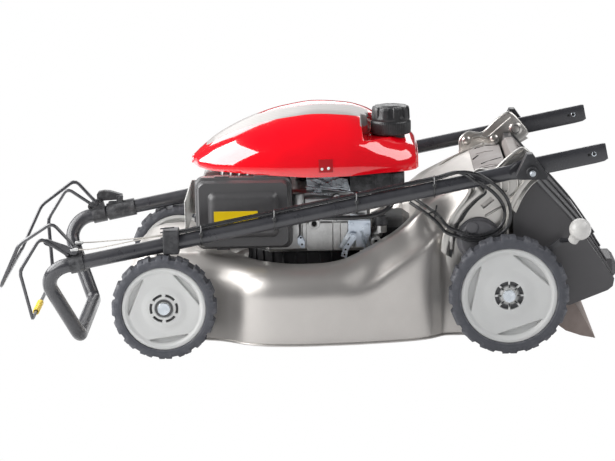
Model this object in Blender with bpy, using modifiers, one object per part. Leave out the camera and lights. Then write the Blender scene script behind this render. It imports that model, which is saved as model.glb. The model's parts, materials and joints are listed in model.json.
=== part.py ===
# Petrol lawn mower with its handle folded forward over the engine.
# X runs from the grip to the discharge guard, Y to the mower's right side, Z up from the ground.
# Every place is written from the front wheel's contact point, and the root empty then centres the mower.

import math

import bmesh
import bpy
from mathutils import Matrix, Vector

# Gaps and walls
GAP = 0.0003
RUN_GAP = 0.0003
SHEET = 0.0025

# Wheels
WHEELBASE = 0.583
FRONT_RADIUS = 0.089
REAR_RADIUS = 0.1015
FRONT_DISC = 0.0715
REAR_DISC = 0.0815
FRONT_OUTER_Y = 0.244
REAR_OUTER_Y = 0.248
FRONT_WIDTH = 0.041
REAR_WIDTH = 0.0375
TREAD_DEPTH = 0.005
LUGS = 16
STUB_RADIUS = 0.006
HUB_BOLT_RADIUS = 0.0105

# Height adjustment
ARM_REACH = 0.060
ARM_RISE_DEG = 26.7
ARM_INNER_Y = 0.1905
ARM_OUTER_Y = 0.1975
ARM_END_RADIUS = 0.014
SHAFT_RADIUS = 0.006
REAR_SLEEVE_RADIUS = 0.010
FRONT_BAR_RADIUS = 0.008
PINION_RADIUS = 0.0095
LINK_PIN_OFFSET = (0.010, 0.032)
LINK_Y = 0.108
LINK_PIN_RADIUS = 0.003
LEVER_BEND = (0.6745, 0.1845)
LEVER_END = (0.692, 0.1945)
BALL_CENTRE = (0.702, 0.214)
BALL_Y = 0.2445
BALL_RADIUS = 0.0185

# Deck
RIM_Z = 0.020
PLATE_Z = 0.122
CRANK_X = 0.235
CRANK_HOLE_RADIUS = 0.024
DECK_REAR_X = 0.590
RAMP_FRONT = (0.478, 0.117)
RAMP_REAR = (0.632, 0.129)
RECESS_FRONT = 0.128
RECESS_REAR = 0.190
RECESS_SIDE = 0.128

# Rear stays and handle pivot
STAY_Y = 0.1833
STAY_FRAME_Y = 0.1915
BOSS_Y = 0.1992
PIVOT = (0.622, 0.3135)
PIVOT_BOLT_RADIUS = 0.004
GUARD_HINGE = (0.604, 0.300)
GUARD_PIN_RADIUS = 0.003
SKIRT_HINGE = (0.640, 0.1195)
SKIRT_PIN_RADIUS = 0.0025

# Handle
TUBE_RADIUS = 0.0125
TUBE_Y = 0.212
TUBE_TIP = (0.750, 0.338)
TUBE_CORNER = (-0.2104, 0.1520)
GRIP = (-0.155, 0.020)
GRIP_Y = 0.135
FLAT_THICKNESS = 0.010
FLAT_OUTER_Y = TUBE_Y - TUBE_RADIUS + FLAT_THICKNESS
KNOB_OUTER_Y = 0.2635
ROD_RADIUS = 0.00325
DRIVE_BAIL_PIVOT = (-0.148, 0.186)
BRAKE_BAIL_PIVOT = (-0.160, 0.180)
EAR_Y = (0.2003, 0.2110)

# Engine
CRANK_RADIUS = 0.0125
BASE_RADIUS = 0.098
BASE_TOP = 0.152
CASE_X = (0.170, 0.352)
CASE_Y = 0.100
CASE_TOP = 0.262
HEAD_X = (0.060, 0.1697)
HEAD_Y = 0.055
POST_TOP = 0.3052
POST_RADIUS = 0.006
FLYWHEEL_RADIUS = 0.085
CAP_CENTRE = (0.391, -0.050)
CAP_RADIUS = 0.035
CAP_TOP = 0.4005
CAP_HEIGHT = 0.0505
CAP_SEAT_Z = CAP_TOP - CAP_HEIGHT
FILTER_X = (0.051, 0.218)
FILTER_Z = (0.1695, 0.2905)
FILTER_OUTER_Y = 0.170
FILTER_SPLIT_Y = 0.1255

# Blade and drive
BLADE_LENGTH = 0.455
BLADE_Z = (0.045, 0.049)
BLADE_WIDTH = 0.054
PULLEY_Z = (0.0985, 0.111)
ENGINE_GROOVE = 0.0185
GEARBOX_GROOVE = 0.0282
PULLEY_LIP = 0.0055
BELT_THICKNESS = 0.004

# Cables
CABLE_RADIUS = 0.003
WIRE_RADIUS = 0.0009

ARM_RISE = math.radians(ARM_RISE_DEG)
ARM_DX = ARM_REACH * math.cos(ARM_RISE)
ARM_DZ = ARM_REACH * math.sin(ARM_RISE)
FRONT_PIVOT = (-ARM_DX, FRONT_RADIUS - ARM_DZ)
REAR_PIVOT = (WHEELBASE - ARM_DX, REAR_RADIUS - ARM_DZ)
SIDES = {"left": -1, "right": 1}


def clear_scene():
    for obj in list(bpy.data.objects):
        bpy.data.objects.remove(obj, do_unlink=True)


def new_collection(name):
    collection = bpy.data.collections.new(name)
    bpy.context.scene.collection.children.link(collection)
    return collection


clear_scene()
PARTS = new_collection("petrol_lawn_mower")
TOOLS = new_collection("cutters")
ROOT = bpy.data.objects.new("mower_frame", None)
PARTS.objects.link(ROOT)


def material(name, colour, roughness, metallic=0.0):
    mat = bpy.data.materials.new(name)
    mat.use_nodes = True
    shader = mat.node_tree.nodes["Principled BSDF"]
    shader.inputs["Base Color"].default_value = (*colour, 1.0)
    shader.inputs["Roughness"].default_value = roughness
    shader.inputs["Metallic"].default_value = metallic
    mat.diffuse_color = (*colour, 1.0)
    return mat


DECK_PAINT = material("silver_deck_paint", (0.42, 0.40, 0.38), 0.35, 0.6)
RED_PLASTIC = material("red_gloss_plastic", (0.80, 0.0, 0.01), 0.15)
BLACK_PLASTIC = material("black_plastic", (0.045, 0.045, 0.048), 0.45)
TUBE_PAINT = material("charcoal_tube_paint", (0.05, 0.05, 0.055), 0.35)
RUBBER = material("tyre_rubber", (0.06, 0.06, 0.07), 0.75)
RIM_PLASTIC = material("light_grey_rim_plastic", (0.65, 0.65, 0.63), 0.45)
ZINC = material("zinc_plated_steel", (0.55, 0.57, 0.60), 0.35, 0.9)
ALUMINIUM = material("cast_aluminium", (0.60, 0.60, 0.60), 0.40, 0.9)
STAY_STEEL = material("pressed_stay_steel", (0.50, 0.49, 0.47), 0.35, 0.7)
BLADE_STEEL = material("blade_steel", (0.12, 0.12, 0.12), 0.45, 0.8)
GREY_COVER = material("grey_tunnel_plastic", (0.36, 0.33, 0.31), 0.5)
GUARD_GREY = material("light_grey_guard_paint", (0.60, 0.60, 0.58), 0.4)
SKIRT_RUBBER = material("brown_grey_rubber", (0.20, 0.165, 0.145), 0.7)
KNOB_GREY = material("pale_grey_knob_plastic", (0.58, 0.57, 0.54), 0.4)
FILTER_FOAM = material("filter_paper", (0.55, 0.50, 0.38), 0.9)


# Temporary solids, all in mower coordinates

def link_tool(name, data):
    obj = bpy.data.objects.new(name, data)
    TOOLS.objects.link(obj)
    obj.hide_render = True
    obj.display_type = "WIRE"
    return obj


def close_mesh(mesh):
    bm = bmesh.new()
    bm.from_mesh(mesh)
    bmesh.ops.remove_doubles(bm, verts=bm.verts, dist=0.00002)
    bmesh.ops.recalc_face_normals(bm, faces=bm.faces)
    bm.to_mesh(mesh)
    bm.free()


def as_mesh(obj):
    """The evaluated object as a plain mesh object, with its transform applied."""
    bpy.context.view_layer.update()
    graph = bpy.context.evaluated_depsgraph_get()
    mesh = bpy.data.meshes.new_from_object(obj.evaluated_get(graph), depsgraph=graph)
    mesh.transform(obj.matrix_world)
    name = obj.name
    bpy.data.objects.remove(obj, do_unlink=True)
    close_mesh(mesh)
    mesh.materials.clear()
    return link_tool(name, mesh)


def from_bmesh(name, bm):
    mesh = bpy.data.meshes.new(name)
    bm.to_mesh(mesh)
    bm.free()
    return link_tool(name, mesh)


def box(low, high, bevel=0.0):
    bm = bmesh.new()
    bmesh.ops.create_cube(bm, size=1.0)
    size = [h - l for l, h in zip(low, high)]
    middle = [(h + l) / 2 for l, h in zip(low, high)]
    bm.transform(Matrix.Translation(middle) @ Matrix.Diagonal((*size, 1.0)))
    if bevel:
        bmesh.ops.bevel(bm, geom=bm.edges[:], offset=bevel, segments=1, affect="EDGES")
    return from_bmesh("box", bm)


def rod(start, end, radius, sides=12, end_radius=None):
    start = Vector(start)
    end = Vector(end)
    bm = bmesh.new()
    length = (end - start).length
    tip = radius if end_radius is None else end_radius
    bmesh.ops.create_cone(bm, cap_ends=True, segments=sides, radius1=radius, radius2=tip, depth=length)
    turn = Vector((0, 0, 1)).rotation_difference(end - start).to_matrix().to_4x4()
    bm.transform(Matrix.Translation((start + end) / 2) @ turn)
    return from_bmesh("rod", bm)


def pin_y(place, y0, y1, radius, sides=12):
    return rod((place[0], min(y0, y1), place[1]), (place[0], max(y0, y1), place[1]), radius, sides)


def plate(outline, y0, y1, holes=()):
    """A flat outline in X and Z, as a filled 2D curve with its thickness along Y."""
    curve = bpy.data.curves.new("plate", "CURVE")
    curve.dimensions = "2D"
    curve.fill_mode = "BOTH"
    curve.extrude = abs(y1 - y0) / 2
    for loop in (outline, *holes):
        spline = curve.splines.new("POLY")
        spline.points.add(len(loop) - 1)
        for point, place in zip(spline.points, loop):
            point.co = (place[0], place[1], 0.0, 1.0)
        spline.use_cyclic_u = True
    obj = link_tool("plate", curve)
    obj.matrix_world = Matrix.Translation((0, (y0 + y1) / 2, 0)) @ Matrix.Rotation(math.pi / 2, 4, "X")
    return as_mesh(obj)


def turned(profile, steps, place):
    """A closed profile of radius and height, spun round Z with a Screw modifier, then placed."""
    mesh = bpy.data.meshes.new("turned")
    count = len(profile)
    edges = [(i, (i + 1) % count) for i in range(count)]
    mesh.from_pydata([(r, 0.0, z) for r, z in profile], edges, [])
    obj = link_tool("turned", mesh)
    screw = obj.modifiers.new("Screw", "SCREW")
    screw.steps = steps
    screw.render_steps = steps
    screw.use_merge_vertices = True
    screw.merge_threshold = 0.00001
    obj.matrix_world = place
    return as_mesh(obj)


def tube(points, radius, resolution=2, radii=None):
    """A round bar along a list of points, as a poly curve with a bevel."""
    curve = bpy.data.curves.new("tube", "CURVE")
    curve.dimensions = "3D"
    curve.bevel_depth = radius
    curve.bevel_resolution = resolution
    curve.use_fill_caps = True
    curve.render_resolution_u = 0
    spline = curve.splines.new("POLY")
    spline.points.add(len(points) - 1)
    for i, place in enumerate(points):
        spline.points[i].co = (*place, 1.0)
        spline.points[i].radius = radii[i] if radii else 1.0
    return as_mesh(link_tool("tube", curve))


def fuse(solids, cuts=()):
    """One mesh object: the solids joined, then the cuts taken away."""
    base = solids[0]
    for number, tool in enumerate((*solids[1:], *cuts)):
        step = base.modifiers.new("Boolean", "BOOLEAN")
        step.operation = "UNION" if number < len(solids) - 1 else "DIFFERENCE"
        step.object = tool
        base = as_mesh(base)
        bpy.data.objects.remove(tool, do_unlink=True)
    return base


def finish(name, obj, mat, pivot=(0.0, 0.0, 0.0), smooth_deg=35.0):
    """Names the solid, moves its origin to the pivot and parents it to the root empty."""
    mesh = obj.data
    mesh.name = name
    mesh.transform(Matrix.Translation(-Vector(pivot)))
    mesh.materials.append(mat)
    mesh.shade_smooth()
    mesh.set_sharp_from_angle(angle=math.radians(smooth_deg))
    part = bpy.data.objects.new(name, mesh)
    PARTS.objects.link(part)
    part.location = pivot
    part.parent = ROOT
    bpy.data.objects.remove(obj, do_unlink=True)
    return part


# Plane geometry

def at_y(place, y=0.0):
    return (place[0], y, place[1])


def arc(centre, radius, start_deg, end_deg, steps):
    turn = [math.radians(start_deg + (end_deg - start_deg) * i / steps) for i in range(steps + 1)]
    return [(centre[0] + radius * math.cos(a), centre[1] + radius * math.sin(a)) for a in turn]


def capsule(start, end, radius, steps=6):
    """A stadium outline round two points."""
    heading = math.degrees(math.atan2(end[1] - start[1], end[0] - start[0]))
    return arc(end, radius, heading - 90, heading + 90, steps) + arc(start, radius, heading + 90, heading + 270, steps)


def inset_loop(loop, distance):
    """Each corner moved inwards along the bisector; the loop runs anticlockwise."""
    result = []
    for i, place in enumerate(loop):
        before = Vector(place) - Vector(loop[i - 1])
        after = Vector(loop[(i + 1) % len(loop)]) - Vector(place)
        before.normalize()
        after.normalize()
        normal = Vector((-before.y - after.y, before.x + after.x))
        normal.normalize()
        cosine = max(0.5, normal.dot(Vector((-before.y, before.x))))
        result.append(tuple(Vector(place) + normal * distance / cosine))
    return result


def fillet_path(corners, radii, step_deg=18.0):
    """A polyline in space whose inner corners are rounded by arcs."""
    points = [Vector(corners[0])]
    for i in range(1, len(corners) - 1):
        corner = Vector(corners[i])
        back = (Vector(corners[i - 1]) - corner).normalized()
        ahead = (Vector(corners[i + 1]) - corner).normalized()
        half = back.angle(ahead) / 2
        radius = radii[i - 1]
        reach = radius / math.tan(half)
        centre = corner + (back + ahead).normalized() * radius / math.sin(half)
        first = corner + back * reach - centre
        last = corner + ahead * reach - centre
        sweep = first.angle(last)
        axis = first.cross(last)
        steps = max(2, math.ceil(math.degrees(sweep) / step_deg))
        for k in range(steps + 1):
            turned_by = Matrix.Rotation(sweep * k / steps, 3, axis) @ first
            points.append(centre + turned_by)
    points.append(Vector(corners[-1]))
    return [tuple(p) for p in points]


def smooth_route(corners, count):
    """A Catmull-Rom curve through the corners, read at equal steps."""
    pts = [Vector(c) for c in corners]
    pts = [2 * pts[0] - pts[1], *pts, 2 * pts[-1] - pts[-2]]
    fine = []
    for i in range(1, len(pts) - 2):
        for k in range(12):
            t = k / 12
            a, b, c, d = pts[i - 1:i + 3]
            fine.append(0.5 * (2 * b + (c - a) * t + (2 * a - 5 * b + 4 * c - d) * t * t
                               + (3 * b - a - 3 * c + d) * t ** 3))
    fine.append(pts[-2])
    lengths = [0.0]
    for a, b in zip(fine, fine[1:]):
        lengths.append(lengths[-1] + (b - a).length)
    result = []
    for k in range(count):
        want = lengths[-1] * k / (count - 1)
        i = max(j for j in range(len(fine)) if lengths[j] <= want + 1e-12)
        i = min(i, len(fine) - 2)
        part = (want - lengths[i]) / (lengths[i + 1] - lengths[i])
        result.append(tuple(fine[i].lerp(fine[i + 1], part)))
    return result


def along(table, x):
    """Straight-line interpolation in a short list of (x, value)."""
    if x <= table[0][0]:
        return table[0][1]
    for (x0, v0), (x1, v1) in zip(table, table[1:]):
        if x <= x1:
            return v0 + (v1 - v0) * (x - x0) / (x1 - x0)
    return table[-1][1]


# Mowing deck
# Half outline of the rim seen from above, from the nose to the rear edge
DECK_OUTLINE = [
    (-0.078, 0.0), (-0.077, 0.060), (-0.070, 0.115), (-0.046, 0.156), (0.015, 0.178),
    (0.066, 0.186), (0.104, 0.200), (0.126, 0.222), (0.160, 0.240), (0.220, 0.245),
    (0.290, 0.242), (0.350, 0.234), (0.400, 0.224), (0.432, 0.211), (0.456, 0.193), (0.474, 0.183),
    (0.520, 0.183), (0.575, 0.183), (DECK_REAR_X - 0.001, 0.177),
    (DECK_REAR_X, 0.110), (DECK_REAR_X, 0.0),
]
CREST_Z = [
    (-0.078, 0.148), (-0.020, 0.165), (0.050, 0.168), (0.113, 0.158), (0.170, 0.149), (0.230, 0.1465), (0.265, 0.147),
    (0.299, 0.1515), (0.334, 0.164), (0.370, 0.1815), (0.405, 0.190), (0.430, 0.196), (0.450, 0.213), (0.484, 0.244),
    (0.517, 0.271), (0.536, 0.2840), (0.560, 0.2905), (DECK_REAR_X, 0.2925),
]
WALL_Z = [(0.300, 0.100), (0.368, 0.118), (0.420, 0.145), (0.472, 0.185), (0.520, 0.235), (0.575, 0.262)]
CREST_INSET = [(0.300, 0.050), (0.420, 0.055), (0.472, 0.036), (0.575, 0.028)]
REAR_EDGE_INSET = 0.008
REAR_EDGE_WALL_Z = 0.284
RAMP_HALF_WIDTH = 0.158


def recess_point(x, y):
    """Where the line from the crank axis to this place leaves the engine recess."""
    dx = x - CRANK_X
    reach = math.hypot(dx, y)
    cosine = dx / reach
    sine = y / reach
    length = RECESS_REAR if dx > 0 else RECESS_FRONT
    power = 4 if dx > 0 else 2
    radius = ((abs(cosine) / length) ** power + (abs(sine) / RECESS_SIDE) ** power) ** (-1 / power)
    return Vector((CRANK_X + radius * cosine, radius * sine))


def floor_strip(start, end, inset):
    """A strip of the tunnel's floor, one sheet thick, with its top from start to end."""
    low = SHEET - inset
    return [(start[0], start[1] - low), (end[0], end[1] - low), (end[0], end[1] - inset), (start[0], start[1] - inset)]


def deck_loop():
    right = DECK_OUTLINE
    left = [(x, -y) for x, y in reversed(DECK_OUTLINE[1:-1])]
    return [*right, *left]


def build_deck():
    loop = deck_loop()
    count = len(loop)
    columns = []
    for i, (x, y) in enumerate(loop):
        before = Vector(loop[i - 1])
        after = Vector(loop[(i + 1) % count])
        tangent = (after - before).normalized()
        inward = Vector((tangent.y, -tangent.x)) * -1
        if inward.dot(Vector((CRANK_X - x, -y))) < 0:
            inward = -inward
        rim = Vector((x, y))
        at_rear = x > DECK_REAR_X - 0.004
        inset = REAR_EDGE_INSET if at_rear else along(CREST_INSET, x)
        wall_z = REAR_EDGE_WALL_Z if at_rear else along(WALL_Z, x)
        crest = rim + inward * inset
        crest_z = along(CREST_Z, crest.x)
        column = [(*rim, RIM_Z), (*(rim + inward * 0.001), (RIM_Z + wall_z) / 2), (*(rim + inward * 0.003), wall_z)]
        for quarter in (30, 60):
            turn = math.radians(quarter)
            place = rim + inward * (0.003 + (inset - 0.003) * (1 - math.cos(turn)))
            column.append((*place, wall_z + (crest_z - wall_z) * math.sin(turn)))
        column.append((*crest, crest_z))
        edge = recess_point(x, y)
        span = (edge - crest).length
        near = max(0.12, 1 - 0.05 / span)
        for part in (near / 2, near):
            place = crest.lerp(edge, part)
            column.append((*place, along(CREST_Z, place.x)))
        half_place = crest.lerp(edge, (1 + near) / 2)
        column.append((*half_place, (along(CREST_Z, half_place.x) + PLATE_Z) / 2))
        column.append((*edge, PLATE_Z))
        hole = Vector((CRANK_X, 0)) + (edge - Vector((CRANK_X, 0))).normalized() * CRANK_HOLE_RADIUS
        column.append((*hole, PLATE_Z))
        columns.append(column)
    rows = len(columns[0])
    verts = [point for column in columns for point in column]
    faces = []
    for i in range(count):
        j = (i + 1) % count
        for k in range(rows - 1):
            faces.append((i * rows + k, j * rows + k, j * rows + k + 1, i * rows + k + 1))
    mesh = bpy.data.meshes.new("deck")
    mesh.from_pydata(verts, [], faces)
    close_normals = bmesh.new()
    close_normals.from_mesh(mesh)
    bmesh.ops.recalc_face_normals(close_normals, faces=close_normals.faces)
    top = max(close_normals.faces, key=lambda f: f.calc_center_median().z)
    if top.normal.z < 0:
        bmesh.ops.reverse_faces(close_normals, faces=close_normals.faces)
    close_normals.to_mesh(mesh)
    close_normals.free()
    shell = link_tool("deck", mesh)
    solidify = shell.modifiers.new("Solidify", "SOLIDIFY")
    solidify.thickness = SHEET
    solidify.offset = -1.0
    shell = as_mesh(shell)

    floor_line = [RAMP_FRONT, RAMP_REAR]
    wide_end = (0.582, along(floor_line, 0.582))
    floor_wide = plate(floor_strip(RAMP_FRONT, wide_end, 0.0), -0.1818, 0.1818)
    lip_start = (0.570, along(floor_line, 0.570))
    floor_lip = plate(floor_strip(lip_start, RAMP_REAR, 0.0002), -RAMP_HALF_WIDTH, RAMP_HALF_WIDTH)
    tabs = []
    for side in SIDES.values():
        ear = [(0.605, 0.116), (0.646, 0.112), (0.646, 0.127), (0.605, 0.1285)]
        tabs.append(plate(ear, side * 0.1530, side * 0.1585))
    opening = box((DECK_REAR_X - 0.022, -0.150, along(floor_line, DECK_REAR_X) + 0.004), (DECK_REAR_X + 0.02, 0.150, 0.268))
    cuts = [
        opening,
        pin_y(REAR_PIVOT, -0.25, 0.25, REAR_SLEEVE_RADIUS + RUN_GAP, 16),
        pin_y(FRONT_PIVOT, -0.25, 0.25, FRONT_BAR_RADIUS + RUN_GAP, 16),
        pin_y(SKIRT_HINGE, -0.17, 0.17, SKIRT_PIN_RADIUS + RUN_GAP, 12),
    ]
    deck = fuse([shell, floor_wide, floor_lip, *tabs], cuts)
    return finish("deck_shell", deck, DECK_PAINT, smooth_deg=40)


# Rear stays
STAY_OUTLINE = [
    (0.481, 0.205), (0.480, 0.150), (0.494, 0.105), (0.503, 0.062), (0.515, 0.052), (0.543, 0.052), (0.556, 0.062),
    (0.573, 0.110), (0.581, 0.150), (0.584, 0.200), (0.592, 0.237), (0.605, 0.2635), (0.622, 0.2860), (0.643, 0.3005),
    (0.6465, 0.3080), (0.6150, 0.3445), (0.6040, 0.3445), (0.5820, 0.3280), (0.5625, 0.3085), (0.5510, 0.3085),
    (0.5370, 0.3105), (0.5240, 0.3035), (0.5175, 0.2910), (0.5175, 0.2700), (0.4850, 0.2270),
]
STAY_FRAME_WIDTH = 0.006
STAY_SLOT = [(0.535, 0.246), (0.551, 0.262), (0.545, 0.268), (0.529, 0.252)]


def build_stays():
    frame_outer = [p for p in STAY_OUTLINE if p[1] > 0.195]
    frame_inner = inset_loop(frame_outer, STAY_FRAME_WIDTH)
    lowest = min(p[1] for p in frame_outer)
    frame_inner = [(p[0], p[1] - 0.03) if p[1] < lowest + 2 * STAY_FRAME_WIDTH else p for p in frame_inner]
    for word, side in SIDES.items():
        sheet = plate(STAY_OUTLINE, side * STAY_Y, side * (STAY_Y + SHEET))
        frame = plate(frame_outer, side * (STAY_Y + SHEET / 2), side * STAY_FRAME_Y)
        hollow = plate(frame_inner, side * (STAY_Y + SHEET), side * (STAY_FRAME_Y + 0.01))
        frame = fuse([frame], [hollow])
        boss = pin_y(PIVOT, side * (STAY_Y + SHEET / 2), side * BOSS_Y, 0.0135, 14)
        cuts = [
            pin_y(PIVOT, side * 0.17, side * 0.21, PIVOT_BOLT_RADIUS + RUN_GAP, 10),
            pin_y(REAR_PIVOT, side * 0.17, side * 0.21, REAR_SLEEVE_RADIUS + RUN_GAP, 16),
            pin_y(GUARD_HINGE, side * 0.17, side * 0.21, GUARD_PIN_RADIUS + RUN_GAP, 12),
            plate(STAY_SLOT, side * 0.17, side * 0.21),
        ]
        stay = fuse([sheet, frame, boss], cuts)
        finish("stay_" + word, stay, STAY_STEEL)


TUNNEL_COVER_X = (0.534, 0.588)
TUNNEL_COVER_HALF = 0.118
TUNNEL_COVER_THICKNESS = 0.0035


def build_tunnel_cover():
    steps = 6
    xs = [TUNNEL_COVER_X[0] + (TUNNEL_COVER_X[1] - TUNNEL_COVER_X[0]) * k / steps for k in range(steps + 1)]
    low = [(x, along(CREST_Z, x) + 0.0006) for x in xs]
    high = [(x, z + TUNNEL_COVER_THICKNESS) for x, z in reversed(low)]
    cover = plate([*low, *high], -TUNNEL_COVER_HALF, TUNNEL_COVER_HALF)
    slots = [box((0.543, y, 0.27), (0.574, y + 0.004, 0.35)) for y in (-0.072, 0.060)]
    finish("tunnel_cover", fuse([cover], slots), GREY_COVER)


SHROUD_OUTLINE = [
    (0.3560, PLATE_Z + GAP), (0.4080, PLATE_Z + GAP), (0.4120, 0.150), (0.4200, 0.170), (0.4240, 0.180),
    (0.4100, 0.190), (0.3850, 0.190), (0.3560, 0.184),
]


def build_rear_shroud():
    finish("rear_shroud", plate(SHROUD_OUTLINE, -0.085, 0.085), BLACK_PLASTIC)


def build_drive_cover():
    centre = (0.535, 0.188)
    inner = -(STAY_Y + SHEET + GAP)
    dome = rod(at_y(centre, inner), at_y(centre, -0.1990), 0.038, 28, 0.031)
    finish("drive_cover", dome, BLACK_PLASTIC)


# Wheels

def wheel_frame(x, radius, inner_y, side):
    """Local Z points outwards along the axle, with zero at the wheel's inner face."""
    turn = Matrix.Rotation(-side * math.pi / 2, 4, "X")
    return Matrix.Translation((x, side * inner_y, radius)) @ turn


def tyre_ring(radius, bore, width, place):
    """A tyre whose tread is a ring of lugs; each lug's face is flat, and one lies on the ground."""
    pitch = 360 / LUGS
    shares = ((-0.30, 0), (0.30, 0), (0.38, 1), (0.62, 1))
    half_lug = math.radians(pitch * 0.30)
    columns = []
    for lug in range(LUGS):
        for share, low in shares:
            angle = math.radians(-90 + pitch * (lug + share))
            tread = radius / math.cos(half_lug) - TREAD_DEPTH * low
            wall = radius - 0.0085
            seat = bore / math.cos(half_lug)
            profile = [
                (seat, 0.002), (wall, 0.0), (tread, 0.006), (tread, width - 0.006), (wall, width), (seat, width - 0.002),
            ]
            columns.append([(r * math.cos(angle), r * math.sin(angle), z) for r, z in profile])
    rows = len(columns[0])
    bm = bmesh.new()
    grid = [[bm.verts.new(p) for p in column] for column in columns]
    for i in range(len(grid)):
        ahead = grid[(i + 1) % len(grid)]
        for k in range(rows):
            bm.faces.new((grid[i][k], ahead[k], ahead[(k + 1) % rows], grid[i][(k + 1) % rows]))
    bm.transform(place)
    bmesh.ops.recalc_face_normals(bm, faces=bm.faces)
    return from_bmesh("tyre", bm)


def crescent(outer, middle_deg, sweep_deg, z0, z1, place):
    """A pocket cutter with a straight inner side and a round outer side."""
    steps = 5
    outside = arc((0, 0), outer, middle_deg - sweep_deg / 2, middle_deg + sweep_deg / 2, steps)
    curve_tool = plate(outside, z0, z1)
    # The plate lies in X and Z with its thickness along Y; the wheel frame wants thickness along Z.
    curve_tool.data.transform(place @ Matrix(((1, 0, 0, 0), (0, 0, 1, 0), (0, 1, 0, 0), (0, 0, 0, 1))))
    close_mesh(curve_tool.data)
    return curve_tool


POCKET_DEPTH = 0.004
POCKET_SWEEP = 74


def rim_disc(disc, hollow, width, place, pocket_turns, side):
    bore = STUB_RADIUS + RUN_GAP
    face = width - 0.0055
    profile = [
        (bore, 0.004), (0.018, 0.004), (0.018, face - 0.014), (hollow, face - 0.016), (hollow, 0.0015),
        (disc - GAP, 0.0015), (disc - GAP, width - 0.0025), (disc - 0.006, width - 0.0025), (disc - 0.010, face),
        (bore, face - 0.001),
    ]
    rim = turned(profile, 24, place)
    cuts = []
    for turn in pocket_turns:
        middle = turn if side < 0 else 180 - turn
        cuts.append(crescent(disc * 0.865, middle, POCKET_SWEEP, face - POCKET_DEPTH, width, place))
    return fuse([rim], cuts)


def build_wheels():
    kinds = (
        ("front", 0.0, FRONT_RADIUS, FRONT_DISC, 0.060, FRONT_WIDTH, FRONT_OUTER_Y, (157, 39, 278)),
        ("rear", WHEELBASE, REAR_RADIUS, REAR_DISC, ARM_REACH + 0.0102, REAR_WIDTH, REAR_OUTER_Y, (167, 49, 288)),
    )
    for end, x, radius, disc, hollow, width, outer_y, turns in kinds:
        for word, side in SIDES.items():
            place = wheel_frame(x, radius, outer_y - width, side)
            axle = (x, side * (outer_y - width / 2), radius)
            tyre = tyre_ring(radius, disc, width, place)
            finish(f"tyre_{end}_{word}", tyre, RUBBER, axle, 25)
            rim = rim_disc(disc, hollow, width, place, turns, side)
            finish(f"rim_{end}_{word}", rim, RIM_PLASTIC, axle, 30)


# Axles and height adjustment

def stub_axle(x, z, outer_y, width, side):
    face = outer_y - 0.0055
    shank = pin_y((x, z), side * (ARM_OUTER_Y - 0.001), side * (face + 0.002), STUB_RADIUS, 10)
    head = pin_y((x, z), side * (face + GAP), side * (face + 0.0052), HUB_BOLT_RADIUS, 12)
    return [shank, head]


def arm_plate(pivot, wheel, side, boss_radius):
    outline = capsule(pivot, wheel, ARM_END_RADIUS, 5)
    return plate(outline, side * ARM_INNER_Y, side * ARM_OUTER_Y)


def link_pin_place(pivot):
    return (pivot[0] + LINK_PIN_OFFSET[0], pivot[1] + LINK_PIN_OFFSET[1])


def build_front_axle():
    solids = [pin_y(FRONT_PIVOT, -ARM_OUTER_Y + 0.001, ARM_OUTER_Y - 0.001, FRONT_BAR_RADIUS, 12)]
    wheel = (0.0, FRONT_RADIUS)
    for side in SIDES.values():
        solids.append(arm_plate(FRONT_PIVOT, wheel, side, FRONT_BAR_RADIUS))
        solids.extend(stub_axle(*wheel, FRONT_OUTER_Y, FRONT_WIDTH, side))
    pin_place = link_pin_place(FRONT_PIVOT)
    solids.append(plate(capsule(FRONT_PIVOT, pin_place, 0.0105, 4), -LINK_Y + 0.006, -LINK_Y + 0.011))
    solids.append(pin_y(pin_place, -LINK_Y - 0.0035, -LINK_Y + 0.008, LINK_PIN_RADIUS, 12))
    finish("front_axle", fuse(solids), ZINC, at_y(FRONT_PIVOT))


TIE_BAR_OFFSET = (-0.024, -0.040)


def build_rear_axle():
    wheel = (WHEELBASE, REAR_RADIUS)
    tie = (REAR_PIVOT[0] + TIE_BAR_OFFSET[0], REAR_PIVOT[1] + TIE_BAR_OFFSET[1])
    solids = [pin_y(tie, -0.160, 0.160, SHAFT_RADIUS, 12)]
    for side in SIDES.values():
        crank = plate(capsule(REAR_PIVOT, tie, 0.0125, 5), side * 0.158, side * 0.164)
        sleeve = pin_y(REAR_PIVOT, side * 0.159, side * (ARM_OUTER_Y - 0.001), REAR_SLEEVE_RADIUS, 14)
        solids.extend([crank, sleeve, arm_plate(REAR_PIVOT, wheel, side, REAR_SLEEVE_RADIUS)])
        solids.extend(stub_axle(*wheel, REAR_OUTER_Y, REAR_WIDTH, side))
    pin_place = link_pin_place(REAR_PIVOT)
    for end in (tie, pin_place):
        solids.append(plate(capsule(REAR_PIVOT, end, 0.0105, 4), -LINK_Y + 0.006, -LINK_Y + 0.011))
    solids.append(pin_y(pin_place, -LINK_Y - 0.0035, -LINK_Y + 0.008, LINK_PIN_RADIUS, 12))
    bore = pin_y(REAR_PIVOT, -0.25, 0.25, SHAFT_RADIUS + RUN_GAP, 12)
    finish("rear_axle", fuse(solids, [bore]), ZINC, at_y(REAR_PIVOT))


def build_drive_shaft():
    pinion_y = REAR_OUTER_Y - REAR_WIDTH + 0.002
    solids = [pin_y(REAR_PIVOT, -pinion_y - 0.004, pinion_y + 0.004, SHAFT_RADIUS, 12)]
    for side in SIDES.values():
        solids.append(pin_y(REAR_PIVOT, side * pinion_y, side * (pinion_y + 0.008), PINION_RADIUS, 12))
    finish("drive_shaft", fuse(solids), ZINC, at_y(REAR_PIVOT))


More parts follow.
